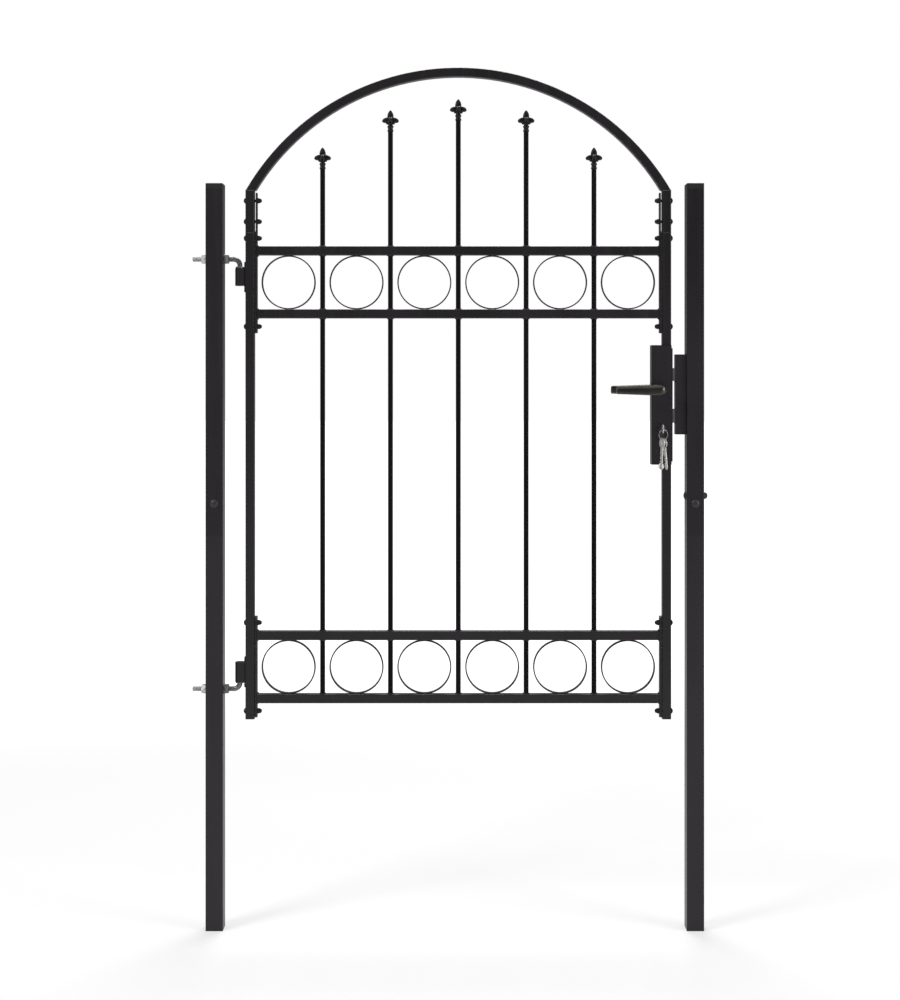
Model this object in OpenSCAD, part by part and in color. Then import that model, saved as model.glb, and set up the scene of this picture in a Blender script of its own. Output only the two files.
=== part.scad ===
// Arched steel garden gate: two posts, hinge bolts, a swinging leaf, its lock and lever handles.
// Millimetres. +X runs from the hinge post to the latch post, +Y to the back, +Z up.
// The origin is the middle of the hinge post's foot. The leaf opens towards +Y.

/* [Posts] */
// Width over the outer faces of the two posts
overall_w = 1000; // [830:5:1300]
// Height of the posts with their caps and foot plugs
post_h = 1500; // [1250:5:2000]
// Side of the square post tubes
post_size = 35; // [30:1:50]
// Wall of the post tubes
post_wall = 1.5; // [1.2:0.1:3]
// Outer corner radius of the post tubes
post_corner_r = 2; // [1.6:0.1:3]
// Height of the plastic cap that shows on top of a post
cap_h = 11; // [4:1:20]
// Thickness of the plastic plug that shows at the foot of a post
foot_h = 3; // [2:0.5:6]
// Length of the upper post tube with its cap
upper_post_len = 708; // [600:1:900]
// Length of the joining sleeve above the butt joint of the post tubes
sleeve_up = 110; // [100:1:160]
// Length of the joining sleeve below the butt joint
sleeve_down = 50; // [30:1:55]
// Height of the cross bolt in the post above the butt joint
post_bolt_up = 65; // [40:1:75]
// Extra height of the sideways bolt in the latch post
side_bolt_step = 15; // [12:1:20]
// Diameter of the post bolts
post_bolt_d = 8; // [6:1:10]

/* [Leaf] */
// Gap between the hinge post and the leaf
hinge_gap = 44; // [40:1:60]
// Gap between the leaf and the latch post
latch_gap = 30; // [28:1:40]
// Side of the square tubes of the leaf
tube = 18; // [16:1:25]
// Wall of the square tubes of the leaf
tube_wall = 1.2; // [1:0.1:2]
// Outer corner radius of the leaf tubes
tube_corner_r = 1.8; // [1.3:0.1:3]
// Height of the lower end of the stiles
leaf_foot_z = 423; // [380:1:450]
// Drop from the top of the posts to the top of the stiles
stile_drop = 99; // [80:1:120]
// Height of the arch legs, from the stile tops to the ends of the bow
leg_h = 85; // [80:1:120]
// Half of the angle that the bow of the arch spans
arch_half_angle = 60; // [50:1:75]

/* [Infill] */
// Diameter of the round bars
bar_d = 10; // [8:1:14]
// Gap at the side of each ring to the bars
ring_side_gap = 9; // [4:0.5:12]
// Thickness of the strip that a ring is bent from
ring_t = 2.5; // [1.5:0.1:4]
// Depth of the strip that a ring is bent from
ring_depth = 10; // [6:1:16]
// Drop from the top of the stiles to the middle of the first rail
top_rail_drop = 36; // [34:1:60]
// Height of the middle of the last rail above the lower end of the stiles
bottom_rail_up = 41; // [36:1:60]
// Radial gap between the tips of the finials and the inside of the bow
tip_gap = 44; // [20:1:80]
// Height of a finial
finial_h = 44; // [40:1:55]

/* [Side plates] */
// Thickness of the side plates that carry the rails
plate_t = 3; // [2:0.5:5]
// Depth of the side plates
plate_depth = 16; // [14:1:18]
// Gap between a side plate and its stile
plate_gap = 2.5; // [2:0.5:4]
// Length of a side plate past the middle of its end rail
plate_over = 39; // [34:1:45]
// Gap between the top end of an upper side plate and the bow
plate_top_gap = 4; // [2:1:10]
// Distance of the stile bolts from the middle of a rail
rail_bolt_off = 25.5; // [22:0.5:28]
// Drops of the two leg bolts below the ends of the bow
leg_bolt_drops = [20, 62];
// Diameter of the stile bolts
stile_bolt_d = 6; // [5:1:8]

/* [Hinges] */
// Diameter of the hinge rods and pins
rod_d = 10; // [8:1:12]
// Drop of the top hinge rod below the top of the post
top_rod_drop = 152; // [140:1:170]
// Height of the bottom hinge rod above the lower end of the stile
bottom_rod_up = 60; // [56:1:80]
// Radius of the bend of a hinge rod
bend_r = 12; // [10:1:15]
// Length of thread that stands out past the post
thread_out = 28; // [20:1:40]
// Width of a hinge eye
eye_w = 19; // [16:1:24]
// Height of the top hinge eye
top_eye_h = 35; // [30:1:45]
// Height of the bottom hinge eye
bottom_eye_h = 40; // [30:1:45]
// Thickness of the plate that joins an eye to the stile
eye_plate_t = 2.5; // [2:0.5:4]
// Height of the plate that joins an eye to the stile
eye_plate_h = 57; // [50:1:64]

/* [Lock] */
// Drop from the middle of the second rail to the middle of the lock
lock_drop = 183; // [170:1:190]
// Width of the lock case
case_w = 40; // [36:1:46]
// Depth of the lock case
case_d = 26; // [22:1:30]
// Height of the lock case
case_h = 240; // [210:1:250]
// Wall of the lock case
case_wall = 2; // [1.5:0.5:3]
// Thickness of the cover plates
cover_t = 2.5; // [1.5:0.5:4]
// Thickness of the forend
forend_t = 2.5; // [2:0.5:4.5]
// Length of the forend
forend_h = 228; // [200:1:228]
// Depth of the forend
forend_d = 22; // [18:1:24]
// Height of the lever axis above the middle of the lock
lever_up = 30; // [24:1:34]
// Height of the latch bolt above the middle of the lock
latch_up = 61; // [58:1:66]
// Drop of the dead bolt below the middle of the lock
dead_bolt_drop = 22; // [18:1:24]
// Drop of the cylinder below the middle of the lock
cylinder_drop = 47.5; // [46:0.5:52]
// Height of the latch bolt
latch_h = 26; // [20:1:28]
// Height of the dead bolt
dead_bolt_h = 28; // [20:1:30]
// Depth of the latch bolt and the dead bolt
bolt_depth = 12; // [10:1:14]
// How far both bolts stand out of the forend
bolt_throw = 12; // [10:1:14]
// Length of a lever from its axis to its tip
lever_len = 95; // [90:1:120]
// Height of a lever's grip at its tip
lever_tip_h = 15; // [10:1:17]
// Height of a lever's grip at its neck
lever_hub_h = 21; // [16:1:24]
// Diameter of a lever's neck
neck_d = 16; // [12:1:16]
// Thickness of a lever's grip from front to back
grip_t = 11; // [8:1:14]
// Distance from the middle of the leaf to the middle of a grip
grip_out = 54; // [48:1:60]

/* [Keep] */
// Gap between the forend and the keep
keep_gap = 6; // [3:0.5:8]
// Height of the keep
keep_h = 161; // [140:1:180]
// Rise of the middle of the keep above the middle of the lock
keep_up = 21; // [10:1:30]
// Depth of the keep
keep_d = 22; // [20:1:35]
// Thickness of the keep's steel
keep_t = 2.5; // [2:0.5:4]

/* [Clearances] */
// Radial clearance of bolts, bars and rods in their holes
hole_clear = 0.2; // [0.1:0.05:0.5]
// Radial running clearance of the hinge pins in the eyes
pin_clear = 0.1; // [0.05:0.05:0.3]
// Clearance between pieces that slide or seat on one another
slide_clear = 0.3; // [0.2:0.05:0.5]

/* [Hidden] */
$fn = 48;
BAR_COUNT = 5;
MID_BAR = 3;

BLACK = [0.05, 0.047, 0.05];
PLASTIC = [0.04, 0.04, 0.042];
BRONZE = [0.07, 0.065, 0.055];
ZINC = [0.7, 0.7, 0.68];
NICKEL = [0.62, 0.61, 0.6];

// Posts
post_pitch = overall_w - post_size;
post_joint_z = post_h - upper_post_len;
post_bolt_z = post_joint_z + post_bolt_up;
side_bolt_z = post_bolt_z + side_bolt_step;
sleeve_size = post_size - 2 * post_wall - 2 * hole_clear;
latch_post_in_x = post_pitch - post_size / 2;
cap_edge_r = 2;
foot_edge_r = 1;
plug_leg_h = 18;
plug_wall = 2;
post_head_d = 17;
post_head_h = 4.5;
post_nut_af = 13;
post_nut_hex_h = 5;
post_nut_h = 9;
nut_land = 0.2;

// Leaf
leaf_x0 = post_size / 2 + hinge_gap;
leaf_x1 = latch_post_in_x - latch_gap;
leaf_mid_x = (leaf_x0 + leaf_x1) / 2;
stile_x = leaf_x0 + tube / 2;
stile_top_z = post_h - stile_drop;
bow_z = stile_top_z + leg_h;
bow_r_out = (leaf_x1 - leaf_x0) / 2 / sin(arch_half_angle);
bow_r_in = bow_r_out - tube;
bow_centre_z = bow_z - bow_r_out * cos(arch_half_angle);
weld_h = 0.8;

// Infill
bar_pitch = (leaf_x1 - leaf_x0 - 2 * tube) / (BAR_COUNT + 1);
ring_od = bar_pitch - bar_d - 2 * ring_side_gap;
ring_seat = 0.1;
band_pitch = ring_od + 2 * ring_seat + tube;
upper_rails_z = [stile_top_z - top_rail_drop, stile_top_z - top_rail_drop - band_pitch];
lower_rails_z = [leaf_foot_z + bottom_rail_up + band_pitch, leaf_foot_z + bottom_rail_up];
tip_r = bow_r_in - tip_gap;
bar_foot_z = lower_rails_z[1];
finial_drawn_h = 44;
function bar_x(i) = leaf_mid_x + (i - MID_BAR) * bar_pitch;
function tip_z(i) = bow_centre_z + sqrt(pow(tip_r, 2) - pow(bar_x(i) - leaf_mid_x, 2));

// Side plates and the bolts through them
plate_foot_up = 3;
plate_x = leaf_x0 + tube + plate_gap;
rail_x0 = plate_x + plate_t;
rail_len = 2 * (leaf_mid_x - rail_x0);
upper_plate_z = [upper_rails_z[1] - plate_over, bow_z - plate_top_gap];
lower_plate_z = [leaf_foot_z + plate_foot_up, lower_rails_z[0] + plate_over];
leg_bolts_z = [for (drop = leg_bolt_drops) bow_z - drop];
upper_bolts_z = [upper_rails_z[0] + rail_bolt_off, upper_rails_z[1] - rail_bolt_off];
lower_bolts_z = [lower_rails_z[0] + rail_bolt_off, lower_rails_z[1] - rail_bolt_off];
stile_bolts_z = concat(leg_bolts_z, upper_bolts_z, lower_bolts_z);
stile_head_d = 12;
stile_head_h = 4.4;
stile_nut_af = 10;
stile_nut_h = 4.5;
stile_nut_out = 9;

// Hinges
pin_x = leaf_x0 - eye_plate_t - eye_w / 2;
top_rod_z = post_h - top_rod_drop;
bottom_rod_z = leaf_foot_z + bottom_rod_up;
washer_t = 2;
washer_d = 20;
rod_nut_h = 8;
rod_nut_af = 17;
spring_washer_t = 3;
top_pin_show = 4;
pin_end_in = 2;
top_eye_z1 = top_rod_z - bend_r - top_pin_show - washer_t - slide_clear;
bottom_eye_z0 = bottom_rod_z + bend_r + washer_t + slide_clear;

// Lock
lock_z = round(upper_rails_z[1] - lock_drop);
lock_x = leaf_x1 - case_w / 2;
lever_z = lock_z + lever_up;
latch_z = lock_z + latch_up;
dead_bolt_z = lock_z - dead_bolt_drop;
cylinder_z = lock_z - cylinder_drop;
forend_out_x = leaf_x1 + forend_t;
cover_y = case_d / 2 + cover_t;
bolt_tail = 20;
latch_nose = 2;
cover_edge = 1;
cover_corner_r = 3;
forend_corner_r = 3;
cylinder_d = 17;
cylinder_leg_w = 10;
cylinder_h = 33;
cylinder_out = 3;
keyway_depth = 25;
neck_in = 4;
grip_tip_chamfer = 2;
spindle_size = 8;

// Keys
key_t = 2;
blade_h = 8;
bow_d = 20;
bow_out = 15;
bow_hole_d = 6;
bow_hole_out = bow_out + 5;
key_in = 22;
spare_blade_len = 38;
tag_d = 14;
// Place across the foot of the ring and lean of each hanging key
hung_keys = [[-1.3, 0], [1.7, 6]];
key_face_y = -cover_y - cylinder_out;
bow_hole_y = key_face_y - bow_hole_out;
ring_wire = 1.8;
key_ring_r = 10;
bunch_turn = 24;
ring_slack = 0.4;
ring_sag = (bow_hole_d - ring_wire) / 2 - ring_slack;
key_ring_z = cylinder_z - ring_sag - key_ring_r;

// Keep
keep_x = forend_out_x + keep_gap;
keep_z = lock_z + keep_up;
keep_slot_clear = 2;

module rounded_rect(w, d, r) {
    square([w - 2 * r, d], center = true);
    square([w, d - 2 * r], center = true);
    for (x = [-1, 1], y = [-1, 1])
        translate([x * (w / 2 - r), y * (d / 2 - r)]) circle(r);
}

module tube_section(size, wall, r) {
    difference() {
        rounded_rect(size, size, r);
        rounded_rect(size - 2 * wall, size - 2 * wall, r - wall);
    }
}

module upright(size, wall, r, z0, z1) {
    translate([0, 0, z0]) linear_extrude(z1 - z0) tube_section(size, wall, r);
}

module x_rod(d, x0, x1) {
    translate([x0, 0, 0]) rotate([0, 90, 0]) cylinder(d = d, h = x1 - x0);
}

module y_rod(d, y0, y1) {
    translate([0, y0, 0]) rotate([-90, 0, 0]) cylinder(d = d, h = y1 - y0);
}

// Low dome of diameter d and height h that stands on z = 0
module dome(d, h) {
    ball_r = (d * d / 4 + h * h) / (2 * h);
    intersection() {
        translate([0, 0, h - ball_r]) sphere(ball_r);
        cylinder(d = d, h = h);
    }
}

// Hexagon nut on z = 0, measured across its flats
module hex_nut(flats, h) {
    rotate([0, 0, 30]) cylinder(d = flats / cos(30), h = h, $fn = 6);
}

// Closed dome nut that stands on z = 0
module cap_nut(flats, hex_h, total_h) {
    dome_d = flats - 1;
    dome_h = min(total_h - hex_h, dome_d / 2) - nut_land;
    hex_nut(flats, hex_h);
    cylinder(d = dome_d, h = total_h - dome_h);
    translate([0, 0, total_h - dome_h]) dome(dome_d, dome_h);
}

module both_sides() {
    children();
    translate([2 * leaf_mid_x, 0, 0]) mirror([1, 0, 0]) children();
}

module at_posts() {
    for (x = [0, post_pitch]) translate([x, 0, 0]) children();
}

// Posts

module post_lower(on_latch_side) {
    difference() {
        upright(post_size, post_wall, post_corner_r, foot_h, post_joint_z);
        if (!on_latch_side)
            translate([0, 0, bottom_rod_z])
                x_rod(rod_d + 2 * hole_clear, -post_size, post_size);
    }
}

module post_upper(on_latch_side) {
    difference() {
        upright(post_size, post_wall, post_corner_r, post_joint_z, post_h - cap_h);
        post_bolt_holes(on_latch_side);
        if (!on_latch_side)
            translate([0, 0, top_rod_z])
                x_rod(rod_d + 2 * hole_clear, -post_size, post_size);
    }
}

module post_bolt_holes(on_latch_side) {
    hole_d = post_bolt_d + 2 * hole_clear;
    translate([0, 0, post_bolt_z]) y_rod(hole_d, -post_size, post_size);
    if (on_latch_side) translate([0, 0, side_bolt_z]) x_rod(hole_d, -post_size, post_size);
}

module hinge_post_lower() { color(BLACK) post_lower(false); }
module hinge_post_upper() { color(BLACK) post_upper(false); }
module latch_post_lower() { color(BLACK) translate([post_pitch, 0, 0]) post_lower(true); }
module latch_post_upper() { color(BLACK) translate([post_pitch, 0, 0]) post_upper(true); }

module sleeve(on_latch_side) {
    difference() {
        upright(sleeve_size, post_wall, post_corner_r, post_joint_z - sleeve_down,
            post_joint_z + sleeve_up);
        post_bolt_holes(on_latch_side);
    }
}

module post_sleeves() {
    color(BLACK) {
        sleeve(false);
        translate([post_pitch, 0, 0]) sleeve(true);
    }
}

// Cap head with a rounded top edge; the same head closes the foot upside down
module plug(head_h, edge_r) {
    intersection() {
        linear_extrude(head_h) rounded_rect(post_size, post_size, post_corner_r);
        rotate([90, 0, 0]) linear_extrude(2 * post_size, center = true)
            plug_profile(head_h, edge_r);
        rotate([90, 0, 90]) linear_extrude(2 * post_size, center = true)
            plug_profile(head_h, edge_r);
    }
    upright(sleeve_size, plug_wall, plug_wall + hole_clear, -plug_leg_h, 0);
}

module plug_profile(head_h, edge_r) {
    translate([-post_size / 2, 0]) square([post_size, head_h - edge_r]);
    translate([-post_size / 2 + edge_r, 0]) square([post_size - 2 * edge_r, head_h]);
    for (x = [-1, 1]) translate([x * (post_size / 2 - edge_r), head_h - edge_r]) circle(edge_r);
}

module post_caps() {
    color(PLASTIC) at_posts() translate([0, 0, post_h - cap_h]) plug(cap_h, cap_edge_r);
}

module post_foot_plugs() {
    color(PLASTIC) at_posts() translate([0, 0, foot_h]) mirror([0, 0, 1]) plug(foot_h, foot_edge_r);
}

// Bolt through a post along +Z, with its dome head at the low end and a dome nut at the high end
module through_bolt() {
    mirror([0, 0, 1]) dome(post_head_d, post_head_h);
    cylinder(d = post_bolt_d, h = post_size + post_nut_hex_h);
    translate([0, 0, post_size]) cap_nut(post_nut_af, post_nut_hex_h, post_nut_h);
}

module post_bolts() {
    color(BLACK) {
        at_posts() translate([0, -post_size / 2, post_bolt_z]) rotate([-90, 0, 0])
            through_bolt();
        translate([post_pitch - post_size / 2, 0, side_bolt_z]) rotate([0, 90, 0])
            through_bolt();
    }
}

// Hinges

// Rod along X that bends up into the pin; its own middle line is z = 0
module bent_rod(pin_top) {
    x_rod(rod_d, -post_size / 2 - thread_out, pin_x - bend_r);
    translate([pin_x - bend_r, 0, bend_r]) rotate([90, 0, 0]) rotate([0, 0, -90])
        rotate_extrude(angle = 90) translate([bend_r, 0]) circle(d = rod_d);
    translate([pin_x, 0, bend_r]) cylinder(d = rod_d, h = pin_top - bend_r);
}

module top_hinge_bolt() {
    color(ZINC) translate([0, 0, top_rod_z]) mirror([0, 0, 1])
        bent_rod(top_rod_z - top_eye_z1 + top_eye_h - pin_end_in);
}

module bottom_hinge_bolt() {
    color(ZINC) translate([0, 0, bottom_rod_z])
        bent_rod(bottom_eye_z0 - bottom_rod_z + bottom_eye_h - pin_end_in);
}

module rod_nut() {
    difference() {
        hex_nut(rod_nut_af, rod_nut_h);
        translate([0, 0, -1]) cylinder(d = rod_d + 2 * hole_clear, h = rod_nut_h + 2);
    }
}

module flat_washer(d, h) {
    difference() {
        cylinder(d = d, h = h);
        translate([0, 0, -1]) cylinder(d = rod_d + 2 * hole_clear, h = h + 2);
    }
}

module nut_stack() {
    flat_washer(washer_d, washer_t);
    translate([0, 0, washer_t]) rod_nut();
}

module hinge_nuts() {
    color(ZINC) {
        for (z = [top_rod_z, bottom_rod_z]) translate([0, 0, z]) {
            translate([-post_size / 2, 0, 0]) rotate([0, -90, 0]) nut_stack();
            translate([post_size / 2, 0, 0]) rotate([0, 90, 0]) {
                flat_washer(rod_nut_af, spring_washer_t);
                translate([0, 0, spring_washer_t]) nut_stack();
            }
        }
        translate([pin_x, 0, top_eye_z1 + slide_clear]) flat_washer(rod_nut_af, washer_t);
        translate([pin_x, 0, bottom_rod_z + bend_r]) flat_washer(rod_nut_af, washer_t);
    }
}

// Barrel with flat sides that run back to its weld plate on the stile
module hinge_eye(z0, h) {
    difference() {
        translate([pin_x, 0, z0]) {
            cylinder(d = eye_w, h = h);
            translate([0, -eye_w / 2, 0]) cube([eye_w / 2, eye_w, h]);
            translate([eye_w / 2, -tube / 2 + tube_corner_r, (h - eye_plate_h) / 2])
                cube([eye_plate_t, tube - 2 * tube_corner_r, eye_plate_h]);
        }
        translate([pin_x, 0, z0 - 1]) cylinder(d = rod_d + 2 * pin_clear, h = h + 2);
    }
}

module top_hinge_eye() { color(BLACK) hinge_eye(top_eye_z1 - top_eye_h, top_eye_h); }
module bottom_hinge_eye() { color(BLACK) hinge_eye(bottom_eye_z0, bottom_eye_h); }

// Frame of the leaf

module stile(z0, z1) {
    difference() {
        translate([stile_x, 0, 0]) upright(tube, tube_wall, tube_corner_r, z0, z1);
        stile_bolt_holes();
    }
}

module stile_bolt_holes() {
    for (z = stile_bolts_z)
        translate([0, 0, z])
            x_rod(stile_bolt_d + 2 * hole_clear, leaf_x0 - 1, rail_x0 + 1);
}

module at_latch_edge() { translate([2 * leaf_mid_x, 0, 0]) mirror([1, 0, 0]) children(); }

module hinge_stile() { color(BLACK) stile(leaf_foot_z, stile_top_z); }
module latch_stile_upper() {
    color(BLACK) at_latch_edge() stile(lock_z + case_h / 2, stile_top_z);
}
module latch_stile_lower() {
    color(BLACK) at_latch_edge() stile(leaf_foot_z, lock_z - case_h / 2);
}

// Full ring, swept round the middle line of the bow
module bow_ring() {
    translate([leaf_mid_x, 0, bow_centre_z]) rotate([90, 0, 0])
        rotate_extrude($fn = 180) translate([bow_r_out - tube / 2, 0]) children();
}

module above(z) {
    side = 3 * bow_r_out;
    translate([leaf_mid_x - side / 2, -side / 2, z]) cube(side);
}

// Bent bow welded on two legs; a web closes the tubes at each weld
module arch() {
    hollow = tube - 2 * tube_wall;
    color(BLACK) difference() {
        union() {
            intersection() {
                bow_ring() rounded_rect(tube, tube, tube_corner_r);
                above(bow_z + weld_h / 2);
            }
            both_sides() translate([stile_x, 0, stile_top_z]) linear_extrude(leg_h + weld_h)
                rounded_rect(tube, tube, tube_corner_r);
        }
        intersection() {
            bow_ring() square(hollow, center = true);
            above(bow_z + weld_h + tube_wall);
        }
        both_sides() translate([stile_x, 0, stile_top_z - 1])
            linear_extrude(leg_h + 1 - tube_wall)
                rounded_rect(hollow, hollow, tube_corner_r - tube_wall);
        both_sides() stile_bolt_holes();
    }
}

// Side plate with a spacer behind each bolt
module side_plate(z_range, bolts_z) {
    difference() {
        union() {
            translate([plate_x, -plate_depth / 2, z_range[0]])
                cube([plate_t, plate_depth, z_range[1] - z_range[0]]);
            for (z = bolts_z) translate([0, 0, z]) x_rod(2 * stile_bolt_d, leaf_x0 + tube, plate_x);
        }
        stile_bolt_holes();
    }
}

module upper_side_plates() {
    color(BLACK) both_sides() side_plate(upper_plate_z, concat(leg_bolts_z, upper_bolts_z));
}
module lower_side_plates() { color(BLACK) both_sides() side_plate(lower_plate_z, lower_bolts_z); }

module rail(z) {
    difference() {
        translate([rail_x0, 0, z]) rotate([90, 0, 90])
            linear_extrude(rail_len) tube_section(tube, tube_wall, tube_corner_r);
        for (i = [1:BAR_COUNT])
            translate([bar_x(i), 0, bar_foot_z])
                cylinder(d = bar_d + 2 * hole_clear, h = post_h);
    }
}

module upper_band_top_rail() { color(BLACK) rail(upper_rails_z[0]); }
module upper_band_bottom_rail() { color(BLACK) rail(upper_rails_z[1]); }
module lower_band_top_rail() { color(BLACK) rail(lower_rails_z[0]); }
module lower_band_bottom_rail() { color(BLACK) rail(lower_rails_z[1]); }

module bar(i) {
    color(BLACK) translate([bar_x(i), 0, bar_foot_z])
        cylinder(d = bar_d, h = tip_z(i) - finial_h - bar_foot_z);
}

module band_rings(rails_z) {
    for (i = [0:BAR_COUNT])
        translate([bar_x(i) + bar_pitch / 2, 0, (rails_z[0] + rails_z[1]) / 2])
            rotate([90, 0, 0]) linear_extrude(ring_depth, center = true) difference() {
                circle(d = ring_od, $fn = 96);
                circle(d = ring_od - 2 * ring_t, $fn = 96);
            }
}

module upper_rings() { color(BLACK) band_rings(upper_rails_z); }
module lower_rings() { color(BLACK) band_rings(lower_rails_z); }

// Spear finial: two collars, a neck with four curled leaves, and a pointed bud
module finial() {
    scale(finial_h / finial_drawn_h) {
        rotate_extrude() polygon([
            [0, 0], [6, 0], [6, 3.6], [5.4, 4.4], [5.3, 8.2], [6.3, 9], [6.3, 11.4], [4.8, 12.6],
            [4.6, 15], [5.6, 20], [6.6, 27], [6.9, 31.5], [6.6, 34], [5.6, 37.5], [3.4, 41],
            [0.8, 43.6], [0, finial_drawn_h]
        ]);
        for (a = [0:90:270]) rotate([90, 0, a]) linear_extrude(5, center = true)
            polygon([[3.8, 12.5], [8, 14.5], [12, 16.6], [15, 19], [16, 22], [15.6, 25.5],
                [13.5, 28.3], [10.5, 28.6], [8.5, 26.5], [4, 24]]);
    }
}

module finials() {
    color(BLACK) for (i = [1:BAR_COUNT])
        translate([bar_x(i), 0, tip_z(i) - finial_h]) finial();
}

// Fastenings of the side plates

module stile_bolt() {
    mirror([0, 0, 1]) dome(stile_head_d, stile_head_h);
    cylinder(d = stile_bolt_d, h = rail_x0 - leaf_x0);
}

module stile_bolts() {
    color(BLACK) both_sides() for (z = stile_bolts_z)
        translate([leaf_x0, 0, z]) rotate([0, 90, 0]) stile_bolt();
}

module stile_cap_nuts() {
    color(BLACK) both_sides() for (z = stile_bolts_z)
        translate([rail_x0, 0, z]) rotate([0, 90, 0])
            cap_nut(stile_nut_af, stile_nut_h, stile_nut_out);
}

// Lock

module lock_case() {
    color(BLACK) difference() {
        translate([leaf_x1 - case_w, -case_d / 2, lock_z - case_h / 2])
            cube([case_w, case_d, case_h]);
        translate([leaf_x1 - case_w + case_wall, -case_d / 2 + case_wall,
            lock_z - case_h / 2 + case_wall])
            cube([case_w, case_d - 2 * case_wall, case_h - 2 * case_wall]);
        translate([lock_x, 0, lever_z]) y_rod(neck_d + 2 * slide_clear, -case_d, case_d);
        cylinder_cut();
    }
}

module profile_2d(grow) {
    circle(d = cylinder_d + 2 * grow);
    translate([-cylinder_leg_w / 2 - grow, cylinder_d / 2 - cylinder_h + cylinder_leg_w / 2])
        square([cylinder_leg_w + 2 * grow, cylinder_h - cylinder_d / 2 - cylinder_leg_w / 2]);
    translate([0, cylinder_d / 2 - cylinder_h + cylinder_leg_w / 2])
        circle(d = cylinder_leg_w + 2 * grow);
}

module cylinder_cut() {
    translate([lock_x, 0, cylinder_z]) rotate([90, 0, 0])
        linear_extrude(2 * case_d, center = true) profile_2d(hole_clear);
}

// Cover plate with softly chamfered outer edges
module cover_plate() {
    difference() {
        union() {
            translate([lock_x, 0, lock_z]) rotate([90, 0, 0])
                linear_extrude(cover_t - cover_edge) rounded_rect(case_w, case_h, cover_corner_r);
            translate([lock_x, 0, lock_z]) rotate([90, 0, 0])
                linear_extrude(cover_t) rounded_rect(case_w - 2 * cover_edge,
                    case_h - 2 * cover_edge, cover_corner_r - cover_edge);
        }
        translate([lock_x, 0, lever_z]) y_rod(neck_d + 2 * slide_clear, -case_d, case_d);
        cylinder_cut();
    }
}

module front_cover_plate() { color(BLACK) translate([0, -case_d / 2, 0]) cover_plate(); }
module back_cover_plate() {
    color(BLACK) translate([0, case_d / 2, 0]) mirror([0, 1, 0]) cover_plate();
}

module lock_forend() {
    color(BLACK) difference() {
        translate([leaf_x1, 0, lock_z]) rotate([90, 0, 90])
            linear_extrude(forend_t) rounded_rect(forend_d, forend_h, forend_corner_r);
        for (b = [[latch_z, latch_h], [dead_bolt_z, dead_bolt_h]])
            translate([leaf_x1 - 1, -bolt_depth / 2 - slide_clear, b[0] - b[1] / 2 - slide_clear])
                cube([forend_t + 2, bolt_depth + 2 * slide_clear, b[1] + 2 * slide_clear]);
    }
}

module lock_cylinder() {
    half = cover_y + cylinder_out;
    color(NICKEL) difference() {
        translate([lock_x, 0, cylinder_z]) rotate([90, 0, 0])
            linear_extrude(2 * half, center = true) profile_2d(0);
        translate([lock_x, -half - 1, cylinder_z]) key_blade(keyway_depth, slide_clear);
    }
}

// Latch bolt with its closing bevel at the back
module latch_bolt() {
    color(ZINC) translate([0, 0, latch_z - latch_h / 2]) linear_extrude(latch_h)
        polygon([
            [leaf_x1 - bolt_tail, -bolt_depth / 2], [forend_out_x + bolt_throw, -bolt_depth / 2],
            [forend_out_x + bolt_throw, -bolt_depth / 2 + latch_nose], [forend_out_x, bolt_depth / 2],
            [leaf_x1 - bolt_tail, bolt_depth / 2]
        ]);
}

module dead_bolt() {
    color(ZINC)
        translate([leaf_x1 - bolt_tail, -bolt_depth / 2, dead_bolt_z - dead_bolt_h / 2])
            cube([bolt_tail + forend_t + bolt_throw, bolt_depth, dead_bolt_h]);
}

// Lever whose own pivot axis is Y through the origin; it stands out towards -Y
module lever() {
    y_rod(neck_d, -grip_out, -case_d / 2 + neck_in);
    intersection() {
        rotate([90, 0, 0]) linear_extrude(grip_out + grip_t) grip_side();
        linear_extrude(2 * lever_hub_h, center = true) grip_plan();
    }
}

module grip_side() {
    tip = lever_tip_h / 2;
    circle(d = lever_hub_h);
    polygon([
        [0, -lever_hub_h / 2], [grip_tip_chamfer - lever_len, -tip],
        [-lever_len, grip_tip_chamfer - tip], [-lever_len, tip - grip_tip_chamfer],
        [grip_tip_chamfer - lever_len, tip], [0, lever_hub_h / 2]
    ]);
}

module grip_plan() {
    translate([0, -grip_out]) circle(d = grip_t);
    translate([-lever_len, -grip_out - grip_t / 2]) square([lever_len, grip_t]);
}

module at_lever() { translate([lock_x, 0, lever_z]) children(); }

module front_lever() { color(BRONZE) at_lever() lever(); }
module back_lever() { color(BRONZE) at_lever() mirror([0, 1, 0]) lever(); }
module spindle() {
    spindle_len = case_d - 2 * neck_in - 2 * slide_clear;
    color(NICKEL) at_lever() cube([spindle_size, spindle_len, spindle_size], center = true);
}

// Keys

module key_blade(len, grow) {
    translate([-key_t / 2 - grow, 0, -blade_h / 2 - grow])
        cube([key_t + 2 * grow, len, blade_h + 2 * grow]);
}

// Key that lies along +Y from its shoulder at y = 0; the bow stands out towards -Y
module key_body(blade_len) {
    key_blade(blade_len, 0);
    difference() {
        rotate([0, 90, 0]) translate([0, -bow_out, 0])
            cylinder(d = bow_d, h = key_t, center = true);
        rotate([0, 90, 0]) translate([0, -bow_hole_out, 0])
            cylinder(d = bow_hole_d, h = 2 * key_t, center = true);
    }
    translate([-key_t / 2, bow_d / 4 - bow_out, -blade_h / 2])
        cube([key_t, bow_out - bow_d / 4, blade_h]);
}

module key() {
    color(NICKEL) translate([lock_x, key_face_y, cylinder_z]) key_body(key_in);
}

// Frame at the middle of the key ring, in which the ring lies in the XZ plane
module at_bunch() { translate([lock_x, bow_hole_y, key_ring_z]) rotate([0, 0, bunch_turn]) children(); }

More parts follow.
